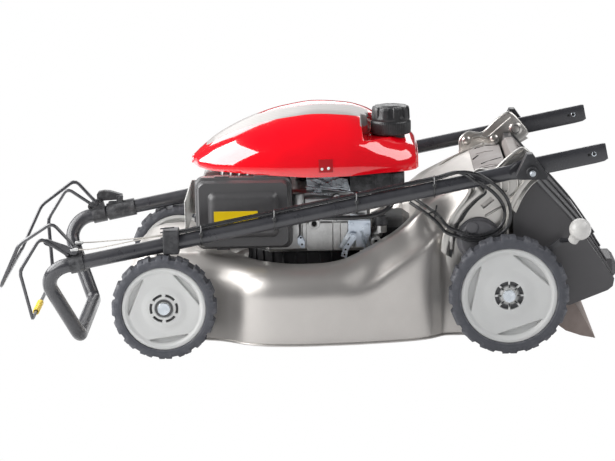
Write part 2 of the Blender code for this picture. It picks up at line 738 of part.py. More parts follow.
def build_link_rod():
    front = link_pin_place(FRONT_PIVOT)
    rear = link_pin_place(REAR_PIVOT)
    solids = [rod(at_y(front, -LINK_Y), at_y(rear, -LINK_Y), 0.0035, 8)]
    cuts = []
    for place, hole in ((front, LINK_PIN_RADIUS + 0.0008), (rear, LINK_PIN_RADIUS + RUN_GAP)):
        solids.append(pin_y(place, -LINK_Y - 0.003, -LINK_Y + 0.003, 0.0075, 14))
        cuts.append(pin_y(place, -LINK_Y - 0.01, -LINK_Y + 0.01, hole, 12))
    finish("link_rod", fuse(solids, cuts), ZINC, at_y(rear, -LINK_Y))


def build_height_lever():
    heading = Vector(LEVER_BEND) - Vector(REAR_PIVOT)
    heading.normalize()
    start = Vector(REAR_PIVOT) + heading * (ARM_END_RADIUS + 0.0055)
    bar = plate(capsule(tuple(start), LEVER_BEND, 0.005, 4), -0.1965, -0.1925)
    bend = (LEVER_BEND[0], -0.1940, LEVER_BEND[1])
    tip = (LEVER_END[0], -0.2335, LEVER_END[1])
    arm_clear = plate(capsule(REAR_PIVOT, (WHEELBASE, REAR_RADIUS), ARM_END_RADIUS + GAP, 8), -0.21, -0.18)
    lever = fuse([bar, rod(bend, tip, 0.004, 10)], [arm_clear])
    finish("height_lever", lever, TUBE_PAINT, at_y(REAR_PIVOT))
    ball_place = Vector((BALL_CENTRE[0], -BALL_Y, BALL_CENTRE[1]))
    axis = (ball_place - Vector(tip)).normalized()
    neck = rod(Vector(tip) - axis * 0.004, ball_place, 0.0085, 16, 0.0095)
    socket = rod(bend, Vector(tip) + (Vector(tip) - Vector(bend)).normalized() * GAP, 0.004 + GAP, 10)
    bm = bmesh.new()
    bmesh.ops.create_uvsphere(bm, u_segments=16, v_segments=10, radius=BALL_RADIUS)
    bm.transform(Matrix.Translation(ball_place))
    knob = fuse([from_bmesh("ball", bm), neck], [socket])
    finish("height_knob", knob, KNOB_GREY, at_y(REAR_PIVOT), 60)


# Handle

def flatten_end(obj):
    """The tube is pressed flat beyond the clamp knob, keeping its inner side in line."""
    inner = TUBE_Y - TUBE_RADIUS
    slope = (TUBE_TIP[1] - TUBE_CORNER[1]) / (TUBE_TIP[0] - TUBE_CORNER[0])
    for vert in obj.data.vertices:
        x, y, z = vert.co
        if x < 0.584:
            continue
        part = min(1.0, (x - 0.584) / 0.020)
        part = part * part * (3 - 2 * part)
        side = 1 if y > 0 else -1
        across = (abs(y) - inner) / (2 * TUBE_RADIUS)
        narrow = 2 * TUBE_RADIUS + (FLAT_THICKNESS - 2 * TUBE_RADIUS) * part
        centre_z = TUBE_TIP[1] + slope * (x - TUBE_TIP[0])
        tip_round = 0.74 if x > TUBE_TIP[0] - 0.002 else 1.0
        taller = (1 + 0.24 * part) * tip_round
        vert.co = (x, side * (inner + across * narrow), centre_z + (z - centre_z) * taller)


def build_handle():
    tips = [(TUBE_TIP[0], -TUBE_Y, TUBE_TIP[1]), (TUBE_TIP[0], TUBE_Y, TUBE_TIP[1])]
    corners = [
        tips[0], (TUBE_CORNER[0], -TUBE_Y, TUBE_CORNER[1]), (GRIP[0], -GRIP_Y, GRIP[1]),
        (GRIP[0], GRIP_Y, GRIP[1]), (TUBE_CORNER[0], TUBE_Y, TUBE_CORNER[1]), tips[1],
    ]
    path = fillet_path(corners, (0.040, 0.020, 0.020, 0.040), 22)
    inward = (Vector(path[1]) - Vector(path[0])).normalized()
    extra = [Vector(path[0]) + inward * d for d in (0.004, 0.149, 0.155, 0.163, 0.170)]
    near = [path[0], *[tuple(p) for p in extra]]
    far = [(x, -y, z) for x, y, z in reversed(near)]
    handle = tube([*near, *path[1:-1], *far], TUBE_RADIUS, 3)
    flatten_end(handle)
    cuts = []
    slope = (TUBE_TIP[1] - TUBE_CORNER[1]) / (TUBE_TIP[0] - TUBE_CORNER[0])
    for side in SIDES.values():
        cuts.append(pin_y(PIVOT, side * 0.18, side * 0.24, PIVOT_BOLT_RADIUS + RUN_GAP, 10))
        for x in (0.7225, 0.7335):
            place = (x, TUBE_TIP[1] + slope * (x - TUBE_TIP[0]))
            cuts.append(pin_y(place, side * 0.18, side * 0.24, 0.0024, 8))
    finish("handle_tube", fuse([handle], cuts), TUBE_PAINT, at_y(PIVOT), 40)


KNOB_OUTLINE = [
    (-0.0085, 0.0300), (0.0010, 0.0300), (0.0265, -0.0070), (0.0250, -0.0140), (-0.0225, -0.0130), (-0.0260, -0.0065),
]


def build_clamp_knobs():
    loop = [(PIVOT[0] + x, PIVOT[1] + z) for x, z in reversed(KNOB_OUTLINE)]
    for word, side in SIDES.items():
        face = TUBE_Y + TUBE_RADIUS + GAP
        solids = [
            plate(loop, side * face, side * (face + 0.022)),
            pin_y(PIVOT, side * (face + 0.020), side * (face + 0.031), 0.0095, 14),
            pin_y(PIVOT, side * (FLAT_OUTER_Y + GAP), side * (face + 0.001), 0.0100, 14),
            pin_y(PIVOT, side * (STAY_Y - 0.003), side * KNOB_OUTER_Y, PIVOT_BOLT_RADIUS, 12),
            pin_y(PIVOT, side * (STAY_Y - 0.0035), side * (STAY_Y - GAP), 0.008, 12),
        ]
        finish("clamp_knob_" + word, fuse(solids), BLACK_PLASTIC, at_y(PIVOT, side * face))


def tube_centre_z(x):
    slope = (TUBE_TIP[1] - TUBE_CORNER[1]) / (TUBE_TIP[0] - TUBE_CORNER[0])
    return TUBE_TIP[1] + slope * (x - TUBE_TIP[0])


def sleeve_on_tube(x0, x1, side, outer):
    a = (x0, side * TUBE_Y, tube_centre_z(x0))
    b = (x1, side * TUBE_Y, tube_centre_z(x1))
    return rod(a, b, outer, 20)


def tube_bore(side, x0=-0.1615, x1=0.10):
    a = (x0, side * TUBE_Y, tube_centre_z(x0))
    b = (x1, side * TUBE_Y, tube_centre_z(x1))
    return rod(a, b, TUBE_RADIUS + GAP, 20)


def build_bail_brackets():
    for word, side in SIDES.items():
        low = [(-0.160, 0.1715), (-0.135, 0.1765), (-0.1385, 0.190)]
        top = arc(DRIVE_BAIL_PIVOT, 0.0075, 20, 110, 3)
        left = arc(BRAKE_BAIL_PIVOT, 0.0070, 120, 230, 4)
        ear = plate([*low, *top, *left], side * EAR_Y[0], side * EAR_Y[1])
        sleeve = sleeve_on_tube(-0.1585, -0.1345, side, 0.0158)
        cuts = [
            tube_bore(side),
            pin_y(DRIVE_BAIL_PIVOT, side * 0.19, side * 0.23, ROD_RADIUS + RUN_GAP, 12),
            pin_y(BRAKE_BAIL_PIVOT, side * 0.19, side * 0.23, ROD_RADIUS + RUN_GAP, 12),
        ]
        finish("bail_bracket_" + word, fuse([sleeve, ear], cuts), BLACK_PLASTIC)


def bail_rod(pivot, pin_end_y, stations, radii):
    """Half the rod's corners are given, from the pin to the crossbar, and mirrored."""
    half = [(pivot[0], pin_end_y, pivot[1]), *stations]
    near = [(x, -y, z) for x, y, z in half]
    corners = [*near, *reversed(half)]
    return tube(fillet_path(corners, [*radii, *reversed(radii)], 32), ROD_RADIUS, 1)


def build_bails():
    a = DRIVE_BAIL_PIVOT
    drive_half = [(a[0], 0.1955, a[1]), (-0.188, 0.196, 0.232), (-0.249, 0.172, 0.190), (-0.2865, 0.151, 0.112)]
    drive = bail_rod(a, 0.2080, drive_half, (0.0045, 0.012, 0.03, 0.010))
    lug = plate(capsule(a, (a[0] + 0.0055, a[1] + 0.0095), 0.0042, 4), -0.1975, -0.1935)
    finish("drive_bail", fuse([drive, lug]), TUBE_PAINT, at_y(a), 40)
    b = BRAKE_BAIL_PIVOT
    brake_half = [(b[0], 0.2178, b[1]), (-0.2065, 0.222, 0.2115), (-0.2435, 0.222, 0.154), (-0.232, 0.167, 0.058)]
    brake = bail_rod(b, 0.2040, brake_half, (0.0045, 0.010, 0.02, 0.010))
    flat = plate(capsule((-0.196, 0.2035), (b[0] + 0.010, b[1] + 0.006), 0.0055, 4), -0.2205, -0.2165)
    sleeve = rod((-0.232, -0.115, 0.058), (-0.232, -0.045, 0.058), ROD_RADIUS + 0.0008, 10)
    finish("brake_bail", fuse([brake, flat, sleeve]), TUBE_PAINT, at_y(b), 40)


PADDLE_HINGE = (-0.108, 0.1945)


def build_console():
    solids = [
        sleeve_on_tube(-0.1305, -0.080, 1, 0.0158),
        box((-0.1300, 0.2035, 0.172), (-0.0880, 0.2205, 0.1870), 0.002),
        box((-0.1140, 0.2050, 0.183), (-0.1020, 0.2120, 0.1985), 0.001),
    ]
    cuts = [tube_bore(1), pin_y(PADDLE_HINGE, 0.19, 0.24, 0.0023, 10)]
    finish("console", fuse(solids, cuts), BLACK_PLASTIC)
    wedge = [
        (-0.1500, 0.1880), (-0.1510, 0.2000), (-0.1475, 0.2050), (-0.1370, 0.2070), (-0.1260, 0.2060), (-0.1040, 0.1990),
        (-0.1030, 0.1920), (-0.1080, 0.1900),
    ]
    solids = [plate(list(reversed(wedge)), 0.2125, 0.2265), pin_y(PADDLE_HINGE, 0.2040, 0.2200, 0.0020, 10)]
    finish("console_paddle", fuse(solids), BLACK_PLASTIC, at_y(PADDLE_HINGE, 0.2195))


def build_cable_guide():
    middle = tube_centre_z(0.0145)
    block = box((0.001, -0.2285, middle - 0.0160), (0.028, -0.1960, middle + 0.0255), 0.002)
    cuts = [tube_bore(-1)]
    for y, lift in CABLE_LANES:
        low = (-0.02, y, tube_centre_z(-0.02) + lift)
        high = (0.05, y, tube_centre_z(0.05) + lift)
        cuts.append(rod(low, high, CABLE_RADIUS + GAP, 10))
    finish("cable_guide", fuse([block], cuts), BLACK_PLASTIC)


# Cables: bare wire from the bail, then casing along the tube, a loop over the stay, and down to the deck
CABLE_LANES = ((-0.2162, 0.0172), (-0.2078, 0.0172))
LOOP_OFFSET = 0.0066


def cable_points(lane, start, loop, tail):
    """Straight along the tube, then smooth round the loop."""
    y, lift = CABLE_LANES[lane]
    on_tube = [(x, y, tube_centre_z(x) + lift) for x in (-0.0075, -0.0060, 0.0320, 0.2100, 0.3950)]
    tie = (0.4620, y, tube_centre_z(0.4620) + lift)
    return [start, *on_tube[:-1], *smooth_route([on_tube[-1], tie, *loop, *tail], 36)]


def build_cables():
    outer_loop = [
        (0.500, -0.2235, 0.3108), (0.532, -0.2312, 0.3078), (0.560, -0.2300, 0.2900), (0.580, -0.2200, 0.2660),
        (0.588, -0.2090, 0.2400), (0.585, -0.2045, 0.2160), (0.569, -0.2040, 0.1990), (0.545, -0.2040, 0.1905),
        (0.520, -0.2035, 0.1900), (0.497, -0.2035, 0.1975),
    ]
    inner_loop = [
        (0.500, -0.2140, 0.3090), (0.528, -0.2310, 0.2975), (0.553, -0.2300, 0.2810), (0.570, -0.2200, 0.2610),
        (0.578, -0.2090, 0.2390), (0.575, -0.2045, 0.2190), (0.562, -0.2040, 0.2060), (0.543, -0.2040, 0.1990),
        (0.521, -0.2035, 0.1985), (0.501, -0.2035, 0.2060),
    ]
    brake_tail = [(0.478, -0.1990, 0.2045), (0.464, -0.1920, 0.2200), (0.445, -0.1780, 0.2340), (0.420, -0.1580, 0.2480)]
    drive_tail = [(0.482, -0.2010, 0.2140), (0.467, -0.1910, 0.2310), (0.449, -0.1780, 0.2430), (0.426, -0.1600, 0.2560)]
    a = DRIVE_BAIL_PIVOT
    b = BRAKE_BAIL_PIVOT
    starts = ((b[0] + 0.0160, -0.2185, b[1] + 0.0095), (a[0] + 0.0105, -0.1955, a[1] + 0.0105))
    routes = (
        ("brake_cable", cable_points(0, starts[0], outer_loop, brake_tail)),
        ("drive_cable", cable_points(1, starts[1], inner_loop, drive_tail)),
    )
    for name, points in routes:
        thin = WIRE_RADIUS / CABLE_RADIUS
        radii = [thin, thin] + [1.0] * (len(points) - 2)
        finish(name, tube(points, CABLE_RADIUS, 1, radii), BLACK_PLASTIC, at_y(PIVOT))


# Discharge guard and trailing skirt
GUARD_SIDE_GAP = 0.0053
GUARD_HALF = STAY_Y - GUARD_SIDE_GAP
GUARD_OUTLINE = [
    (0.594, 0.1200), (0.594, 0.2850), (0.599, 0.3075), (0.612, 0.3075), (0.640, 0.2740), (0.682, 0.2280),
    (0.714, 0.1900), (0.739, 0.1540), (0.766, 0.1130), (0.7635, 0.1000), (0.755, 0.0930), (0.720, 0.0800),
    (0.690, 0.0680), (0.655, 0.0720), (0.640, 0.0900), (0.625, 0.1050),
]
GUARD_WALL = 0.004


def build_guard():
    loop = list(reversed(GUARD_OUTLINE))
    body = plate(loop, -GUARD_HALF, GUARD_HALF)
    hollow_loop = [
        (0.580, 0.050), (0.720, 0.050), (0.752, 0.090), (0.7595, 0.1110), (0.7350, 0.1515), (0.7105, 0.1870),
        (0.6790, 0.2250), (0.6370, 0.2710), (0.6180, 0.2915), (0.580, 0.2915),
    ]
    hollow = plate(hollow_loop, -GUARD_HALF + GUARD_WALL, GUARD_HALF - GUARD_WALL)
    grip = box((0.752, -0.050, 0.0840), (0.783, 0.050, 0.1180), 0.008)
    grip_hollow = box((0.740, -0.044, 0.070), (0.776, 0.044, 0.1080))
    pins = pin_y(GUARD_HINGE, -STAY_Y - SHEET, STAY_Y + SHEET, GUARD_PIN_RADIUS, 12)
    barrel = pin_y(GUARD_HINGE, -GUARD_HALF + 0.001, GUARD_HALF - 0.001, 0.0062, 12)
    guard = fuse([body, grip], [hollow, grip_hollow])
    guard = fuse([guard, barrel, pins])
    finish("discharge_guard", guard, BLACK_PLASTIC, at_y(GUARD_HINGE))


SKIRT_HALF = 0.1525


def build_skirt():
    back = [
        (0.6440, 0.1240), (0.6480, 0.1200), (0.6940, 0.0780), (0.7360, 0.0030), (0.7330, 0.0030), (0.6905, 0.0755),
        (0.6450, 0.1170), (0.6400, 0.1145),
    ]
    cheek = [(0.6440, 0.1180), (0.6920, 0.0770), (0.7345, 0.0032), (0.712, 0.0075), (0.685, 0.0170), (0.655, 0.0400)]
    solids = [
        plate(list(reversed(back)), -SKIRT_HALF, SKIRT_HALF),
        pin_y(SKIRT_HINGE, -0.1515, 0.1515, 0.0052, 12),
        pin_y(SKIRT_HINGE, -0.1575, 0.1575, SKIRT_PIN_RADIUS, 10),
    ]
    for side in SIDES.values():
        solids.append(plate(list(reversed(cheek)), side * (SKIRT_HALF - 0.003), side * (SKIRT_HALF - 0.0002)))
    finish("trailing_skirt", fuse(solids), SKIRT_RUBBER, at_y(SKIRT_HINGE))


# Engine

def crank_rod(z0, z1, radius, sides=16, offset=0.0):
    return rod((CRANK_X + offset, 0, z0), (CRANK_X + offset, 0, z1), radius, sides)


def build_engine_base():
    base = crank_rod(PLATE_Z + GAP, BASE_TOP, BASE_RADIUS, 36)
    boss = rod((0.325, -0.040, 0.135), (0.325, -0.040, BASE_TOP - 0.001), 0.014, 16)
    ribs = []
    for k in range(12):
        turn = math.radians(30 * k + 15)
        spot = Vector((CRANK_X + BASE_RADIUS * math.cos(turn), BASE_RADIUS * math.sin(turn), 0))
        ribs.append(rod(spot + Vector((0, 0, PLATE_Z + 0.0015)), spot + Vector((0, 0, BASE_TOP - 0.0015)), 0.004, 4))
    bore = crank_rod(0.10, 0.20, CRANK_RADIUS + RUN_GAP)
    finish("engine_base", fuse([base, boss, *ribs], [bore]), BLACK_PLASTIC)


POSTS = ((0.185, -0.090), (0.185, 0.090), (0.288, -0.088), (0.288, 0.088))


def build_crankcase():
    low = (CASE_X[0], -CASE_Y, BASE_TOP + GAP)
    solids = [box(low, (CASE_X[1], CASE_Y, CASE_TOP), 0.006)]
    for x in (0.232, 0.262, 0.292, 0.322):
        solids.append(rod((x, -CASE_Y + 0.001, 0.160), (x, -CASE_Y + 0.001, 0.250), 0.004, 6))
    filler = (rod((0.345, -0.092, 0.180), (0.3690, -0.1016, 0.1868), 0.009, 10),
              rod((0.3700, -0.1020, 0.1860), (0.3700, -0.1020, 0.1982), 0.0105, 12))
    solids.extend(filler)
    for x, y in POSTS:
        solids.append(rod((x, y, CASE_TOP - 0.01), (x, y, POST_TOP), POST_RADIUS, 12))
    cuts = [crank_rod(0.14, 0.28, CRANK_RADIUS + RUN_GAP), crank_rod(0.200, 0.246, 0.034)]
    finish("crankcase", fuse(solids, cuts), ALUMINIUM)


def build_cylinder_head():
    low = (HEAD_X[0], -HEAD_Y, 0.190)
    solids = [box(low, (HEAD_X[1], HEAD_Y, 0.278), 0.004)]
    cuts = [box((x, -HEAD_Y - 0.01, 0.262), (x + 0.005, HEAD_Y + 0.01, 0.30)) for x in (0.090, 0.105, 0.120, 0.135)]
    finish("cylinder_head", fuse(solids, cuts), ALUMINIUM)


def build_muffler_group():
    can = box((0.055, HEAD_Y + GAP, 0.184), (0.160, 0.130, 0.250), 0.010)
    finish("muffler", can, BLADE_STEEL)
    front = box((0.0290, -0.070, 0.1775), (0.0315, 0.1328, 0.2400))
    flank = box((0.0290, 0.1303, 0.1775), (0.160, 0.1328, 0.2400))
    finish("muffler_guard", fuse([front, flank]), GUARD_GREY)
    body = box((0.100, -CASE_Y, 0.222), (0.150, -HEAD_Y - GAP, 0.262), 0.004)
    bowl = rod((0.125, -0.075, 0.205), (0.125, -0.075, 0.225), 0.014, 16)
    finish("carburettor", fuse([body, bowl]), ALUMINIUM)


def build_filter():
    base_low = (FILTER_X[0] + 0.004, -FILTER_SPLIT_Y + GAP, FILTER_Z[0] + 0.004)
    base = box(base_low, (FILTER_X[1] - 0.004, -CASE_Y - GAP, FILTER_Z[1] - 0.004), 0.003)
    finish("filter_base", base, BLACK_PLASTIC)
    element = box((0.066, -0.1505, 0.184), (0.203, -FILTER_SPLIT_Y, 0.277), 0.002)
    finish("filter_element", element, FILTER_FOAM)

    inner_y = -FILTER_SPLIT_Y
    x0, x1 = FILTER_X
    z0, z1 = FILTER_Z
    shoulder = 0.022
    bm = bmesh.new()
    rings = (
        (inner_y, 0.0, 0.0, 0.0), (-0.1520, 0.0, 0.0, 0.001), (-FILTER_OUTER_Y + 0.0015, shoulder * 0.55, 0.012, 0.024),
        (-FILTER_OUTER_Y, shoulder * 0.65, 0.014, 0.027),
    )
    loops = []
    for y, side_in, low_in, top_in in rings:
        loop = [(x0 + side_in, z0 + low_in), (x1 - side_in, z0 + low_in), (x1 - side_in, z1 - top_in), (x0 + side_in, z1 - top_in)]
        corner = 0.010
        points = []
        for i, (x, z) in enumerate(loop):
            before = Vector(loop[i - 1]) - Vector((x, z))
            after = Vector(loop[(i + 1) % 4]) - Vector((x, z))
            points.append(Vector((x, z)) + before.normalized() * corner)
            points.append(Vector((x, z)) + (before.normalized() + after.normalized()) * corner * 0.29)
            points.append(Vector((x, z)) + after.normalized() * corner)
        loops.append([bm.verts.new((p.x, y, p.y)) for p in points])
    count = len(loops[0])
    for a, b in zip(loops, loops[1:]):
        for i in range(count):
            bm.faces.new((a[i], a[(i + 1) % count], b[(i + 1) % count], b[i]))
    bm.faces.new(loops[0])
    bm.faces.new(loops[-1])
    bmesh.ops.recalc_face_normals(bm, faces=bm.faces)
    outer = from_bmesh("filter", bm)
    hollow = box((x0 + 0.006, -0.1515, z0 + 0.0065), (x1 - 0.006, inner_y + 0.01, z1 - 0.0065))
    deep = box((x0 + 0.022, -0.1660, z0 + 0.022), (x1 - 0.022, -0.1500, z1 - 0.034))
    tabs = [box((x, -0.1520, z1 - 0.004), (x + 0.022, -0.1400, z1 + 0.0030)) for x in (0.086, 0.156)]
    cover = fuse([outer, *tabs], [hollow, deep])
    finish("filter_cover", cover, BLACK_PLASTIC, (x0, inner_y, z0), 25)


# Sections of the engine cover: place, half width, lower edge, top
COVER_SECTIONS = [
    (0.042, 0.018, 0.2990, 0.3110), (0.056, 0.058, 0.2980, 0.3220), (0.085, 0.096, 0.2980, 0.3450),
    (0.128, 0.122, 0.2975, 0.3700), (0.165, 0.135, 0.2960, 0.3850), (0.205, 0.143, 0.2930, 0.3950),
    (0.260, 0.146, 0.2890, 0.4010), (0.313, 0.143, 0.2905, 0.4000), (0.347, 0.137, 0.2930, 0.3890),
    (0.375, 0.130, 0.2945, 0.3720), (0.402, 0.122, 0.2950, 0.3560), (0.421, 0.112, 0.2950, 0.3470),
    (0.432, 0.100, 0.2955, 0.3370), (0.437, 0.088, 0.2960, 0.3240),
]
COVER_WALL = 0.0030
COVER_POWER = 0.62


def cover_solid(wall):
    steps = 12
    bm = bmesh.new()
    rings = []
    first = COVER_SECTIONS[0][0]
    last = COVER_SECTIONS[-1][0]
    for x, half, low, top in COVER_SECTIONS:
        shift = wall if x == first else (-wall if x == last else 0.0)
        base = low - (0.012 if wall else 0.0)
        height = top - low - wall
        width = half - wall
        ring = []
        for k in range(steps + 1):
            turn = math.pi * k / steps
            side = math.copysign(abs(math.cos(turn)) ** COVER_POWER, math.cos(turn))
            lift = math.sin(turn) ** 0.80 if 0 < k < steps else 0.0
            ring.append(bm.verts.new((x + shift, -width * side, low + max(height, 0.001) * lift)))
        if wall:
            ring.append(bm.verts.new((x + shift, width, base)))
            ring.insert(0, bm.verts.new((x + shift, -width, base)))
        rings.append(ring)
    for a, b in zip(rings, rings[1:]):
        for k in range(len(a)):
            j = (k + 1) % len(a)
            bm.faces.new((a[k], a[j], b[j], b[k]))
    bm.faces.new(rings[0])
    bm.faces.new(rings[-1])
    bmesh.ops.recalc_face_normals(bm, faces=bm.faces)
    return from_bmesh("cover", bm)


def build_top_cover():
    x, y = CAP_CENTRE
    seat = CAP_SEAT_Z - 0.0015
    outer = fuse([cover_solid(0.0)], [rod((x, y, seat), (x, y, 0.45), CAP_RADIUS + 0.003, 32)])
    inner = cover_solid(COVER_WALL)
    cuts = [rod((x, y, seat - COVER_WALL), (x, y, 0.45), CAP_RADIUS + 0.003 + COVER_WALL, 32)]
    for px, py in POSTS:
        cuts.append(rod((px, py, POST_TOP + GAP), (px, py, 0.45), POST_RADIUS, 12))
    cuts.append(crank_rod(0.3425, 0.45, 0.008, 16))
    inner = fuse([inner], cuts)
    neck_hole = rod((x, y, 0.28), (x, y, 0.45), 0.0243, 24)
    cover = fuse([outer], [inner, neck_hole])
    finish("engine_cover", cover, RED_PLASTIC, smooth_deg=50)


def build_fuel_system():
    x, y = CAP_CENTRE
    upper = box((0.2980, -0.0970, CASE_TOP + 0.0020), (0.4125, 0.0970, 0.2960), 0.004)
    lower = box((CASE_X[1] + 0.0030, -0.0970, 0.2360), (0.4125, 0.0970, 0.2800), 0.004)
    neck = rod((x, y, 0.285), (x, y, CAP_SEAT_Z), 0.024, 24)
    bore = rod((x, y, 0.270), (x, y, CAP_SEAT_Z + 0.050), 0.020, 20)
    finish("fuel_tank", fuse([upper, lower, neck], [bore]), BLACK_PLASTIC)
    z = CAP_SEAT_Z + GAP
    profile = [
        (0.0005, z), (CAP_RADIUS - 0.003, z), (CAP_RADIUS, z + 0.006), (CAP_RADIUS, z + 0.022),
        (CAP_RADIUS - 0.002, z + 0.024), (CAP_RADIUS - 0.001, z + 0.040), (CAP_RADIUS - 0.004, z + 0.044),
        (CAP_RADIUS - 0.006, CAP_TOP), (0.0005, CAP_TOP),
    ]
    cap = rod((x, y, z), (x, y, CAP_TOP), CAP_RADIUS - 0.005, 24)
    rim = turned([(0.026, z + 0.002), *profile[2:7], (0.026, z + 0.0450)], 24, Matrix.Translation((x, y, 0)))
    finish("fuel_cap", fuse([cap, rim]), BLACK_PLASTIC, (x, y, z))
    oil = rod((0.3700, -0.1020, 0.1985), (0.3700, -0.1020, 0.2140), 0.0125, 16, 0.0105)
    finish("oil_cap", oil, BLACK_PLASTIC, (0.3700, -0.1020, 0.1985))


GOVERNOR_PIVOT = (0.2600, 0.2770)


def build_brackets():
    solids = [
        box((0.243, -0.0985, CASE_TOP + GAP), (0.280, -0.070, CASE_TOP + 0.0018)),
        box((0.243, -0.1015, CASE_TOP + GAP), (0.300, -0.0980, 0.2850)),
        pin_y(GOVERNOR_PIVOT, -0.1060, -0.1005, 0.0025, 10),
    ]
    finish("governor_bracket", fuse(solids), ZINC)
    arm = plate(
        [(0.252, 0.270), (0.268, 0.271), (0.322, 0.258), (0.324, 0.263), (0.276, 0.278), (0.268, 0.284), (0.254, 0.284)],
        -0.1040, -0.1020,
    )
    hole = pin_y(GOVERNOR_PIVOT, -0.12, -0.09, 0.0028, 10)
    finish("governor_arm", fuse([arm], [hole]), ZINC, at_y(GOVERNOR_PIVOT, -0.103))
    sheet = [
        (0.2960, 0.1620), (0.3060, 0.1580), (0.3220, 0.1780), (0.3420, 0.1840), (0.3440, 0.2180), (0.3180, 0.2200),
        (0.3140, 0.1920),
    ]
    solids = [plate(sheet, -0.1115, -0.1095), box((0.326, -0.1105, 0.1950), (0.340, -CASE_Y - GAP, 0.2120))]
    finish("brake_bracket", fuse(solids), ZINC)


def build_spinning_group():
    solids = [
        crank_rod(BLADE_Z[1] + GAP, 0.3350, CRANK_RADIUS),
        crank_rod(0.2045, 0.2150, 0.0310),
        crank_rod(0.2310, 0.2415, 0.0310),
        crank_rod(0.2100, 0.2350, 0.0100, 16, 0.017),
    ]
    thread = crank_rod(0.04, 0.0700, 0.0053, 12)
    pivot = (CRANK_X, 0, 0)
    finish("crankshaft", fuse(solids, [thread]), BLADE_STEEL, pivot)
    bore_radius = CRANK_RADIUS + RUN_GAP
    disc = [(bore_radius, 0.300), (FLYWHEEL_RADIUS, 0.300), (FLYWHEEL_RADIUS, 0.314), (bore_radius, 0.314)]
    wheel = turned(disc, 24, Matrix.Translation(pivot))
    vanes = []
    for k in range(8):
        vane = box((0.040, -0.0015, 0.312), (FLYWHEEL_RADIUS - 0.004, 0.0015, 0.330))
        vane.data.transform(Matrix.Translation(pivot) @ Matrix.Rotation(math.radians(45 * k), 4, "Z"))
        vanes.append(vane)
    finish("flywheel", fuse([wheel, *vanes]), ALUMINIUM, pivot)
    starter = [(0.0083, 0.3450), (0.042, 0.3450), (0.042, 0.3475), (0.036, 0.3500), (0.042, 0.3525), (0.042, 0.3550), (0.0083, 0.3550)]
    finish("starter_pulley", turned(starter, 20, Matrix.Translation(pivot)), BLACK_PLASTIC, pivot)
    z0, z1 = PULLEY_Z
    for name, x, groove, bore in (
        ("engine_pulley", CRANK_X, ENGINE_GROOVE, bore_radius),
        ("gearbox_pulley", REAR_PIVOT[0], GEARBOX_GROOVE, 0.004),
    ):
        profile = [
            (bore, z0), (groove + PULLEY_LIP, z0), (groove + PULLEY_LIP, z0 + 0.0020), (groove, z0 + 0.0025),
            (groove, z1 - 0.0025), (groove + PULLEY_LIP, z1 - 0.0020), (groove + PULLEY_LIP, z1), (bore, z1),
        ]
        wheel = turned(profile, 20, Matrix.Translation((x, 0, 0)))
        if name == "gearbox_pulley":
            wheel = fuse([wheel, rod((x, 0, 0.0830), (x, 0, z1 - 0.001), 0.0060, 16)])
        finish(name, wheel, ZINC, (x, 0, 0))
    holder = [
        (bore_radius, BLADE_Z[1] + GAP), (0.026, BLADE_Z[1] + GAP), (0.026, 0.056), (0.020, 0.060), (0.020, 0.075),
        (bore_radius, 0.075),
    ]
    finish("blade_holder", turned(holder, 16, Matrix.Translation(pivot)), ZINC, pivot)
    blade_solids = [box((CRANK_X - BLADE_LENGTH / 2, -BLADE_WIDTH / 2, BLADE_Z[0]), (CRANK_X + BLADE_LENGTH / 2, BLADE_WIDTH / 2, BLADE_Z[1]))]
    for side in SIDES.values():
        tip = CRANK_X + side * BLADE_LENGTH / 2
        wing = box((min(tip, tip - side * 0.08), -0.0015, 0.0), (max(tip, tip - side * 0.08), 0.0015, 0.019))
        lean = Matrix.Translation((0, -side * BLADE_WIDTH * 0.42, BLADE_Z[0] + 0.001)) @ Matrix.Rotation(side * 0.9, 4, "X")
        wing.data.transform(lean)
        blade_solids.append(wing)
    hole = crank_rod(0.02, 0.06, 0.0053, 12)
    finish("blade", fuse(blade_solids, [hole]), BLADE_STEEL, pivot)
    bolt = fuse([crank_rod(0.0365, BLADE_Z[0] - GAP, 0.011, 6), crank_rod(0.040, 0.0690, 0.0050, 12)])
    finish("blade_bolt", bolt, ZINC, pivot)


def belt_loop(extra):
    """The belt's outline round both pulleys, seen from above, at a distance from the grooves."""
    small = ENGINE_GROOVE + extra
    large = GEARBOX_GROOVE + extra
    span = REAR_PIVOT[0] - CRANK_X
    lean = math.degrees(math.asin((large - small) / span))
    left = arc((CRANK_X, 0), small, 90 + lean, 270 - lean, 10)
    right = arc((REAR_PIVOT[0], 0), large, -90 - lean, 90 + lean, 12)
    return [*left, *right]


def build_belt_drive():
    z0 = PULLEY_Z[0] + 0.0030
    z1 = PULLEY_Z[1] - 0.0030
    belt = plate(belt_loop(GAP + BELT_THICKNESS), z0, z1, [list(reversed(belt_loop(GAP)))])
    belt.data.transform(Matrix(((1, 0, 0, 0), (0, 0, 1, 0), (0, 1, 0, 0), (0, 0, 0, 1))))
    close_mesh(belt.data)
    finish("drive_belt", belt, RUBBER)
    x, z = REAR_PIVOT
    solids = [
        box((x - 0.022, -0.028, 0.050), (x + 0.022, 0.028, 0.0920), 0.004),
        pin_y(REAR_PIVOT, -0.034, 0.034, 0.0165, 20),
    ]
    cuts = [pin_y(REAR_PIVOT, -0.06, 0.06, SHAFT_RADIUS + RUN_GAP, 12), rod((x, 0, 0.0822), (x, 0, 0.10), 0.0063, 16)]
    finish("gearbox", fuse(solids, cuts), ALUMINIUM)


def centre_on_footprint():
    """The root empty moves so that the mower's box is centred on the origin along X."""
    bpy.context.view_layer.update()
    xs = [vert.co.x + part.location.x for part in PARTS.objects if part.type == "MESH" for vert in part.data.vertices]
    ROOT.location.x = -(min(xs) + max(xs)) / 2
    bpy.context.view_layer.update()


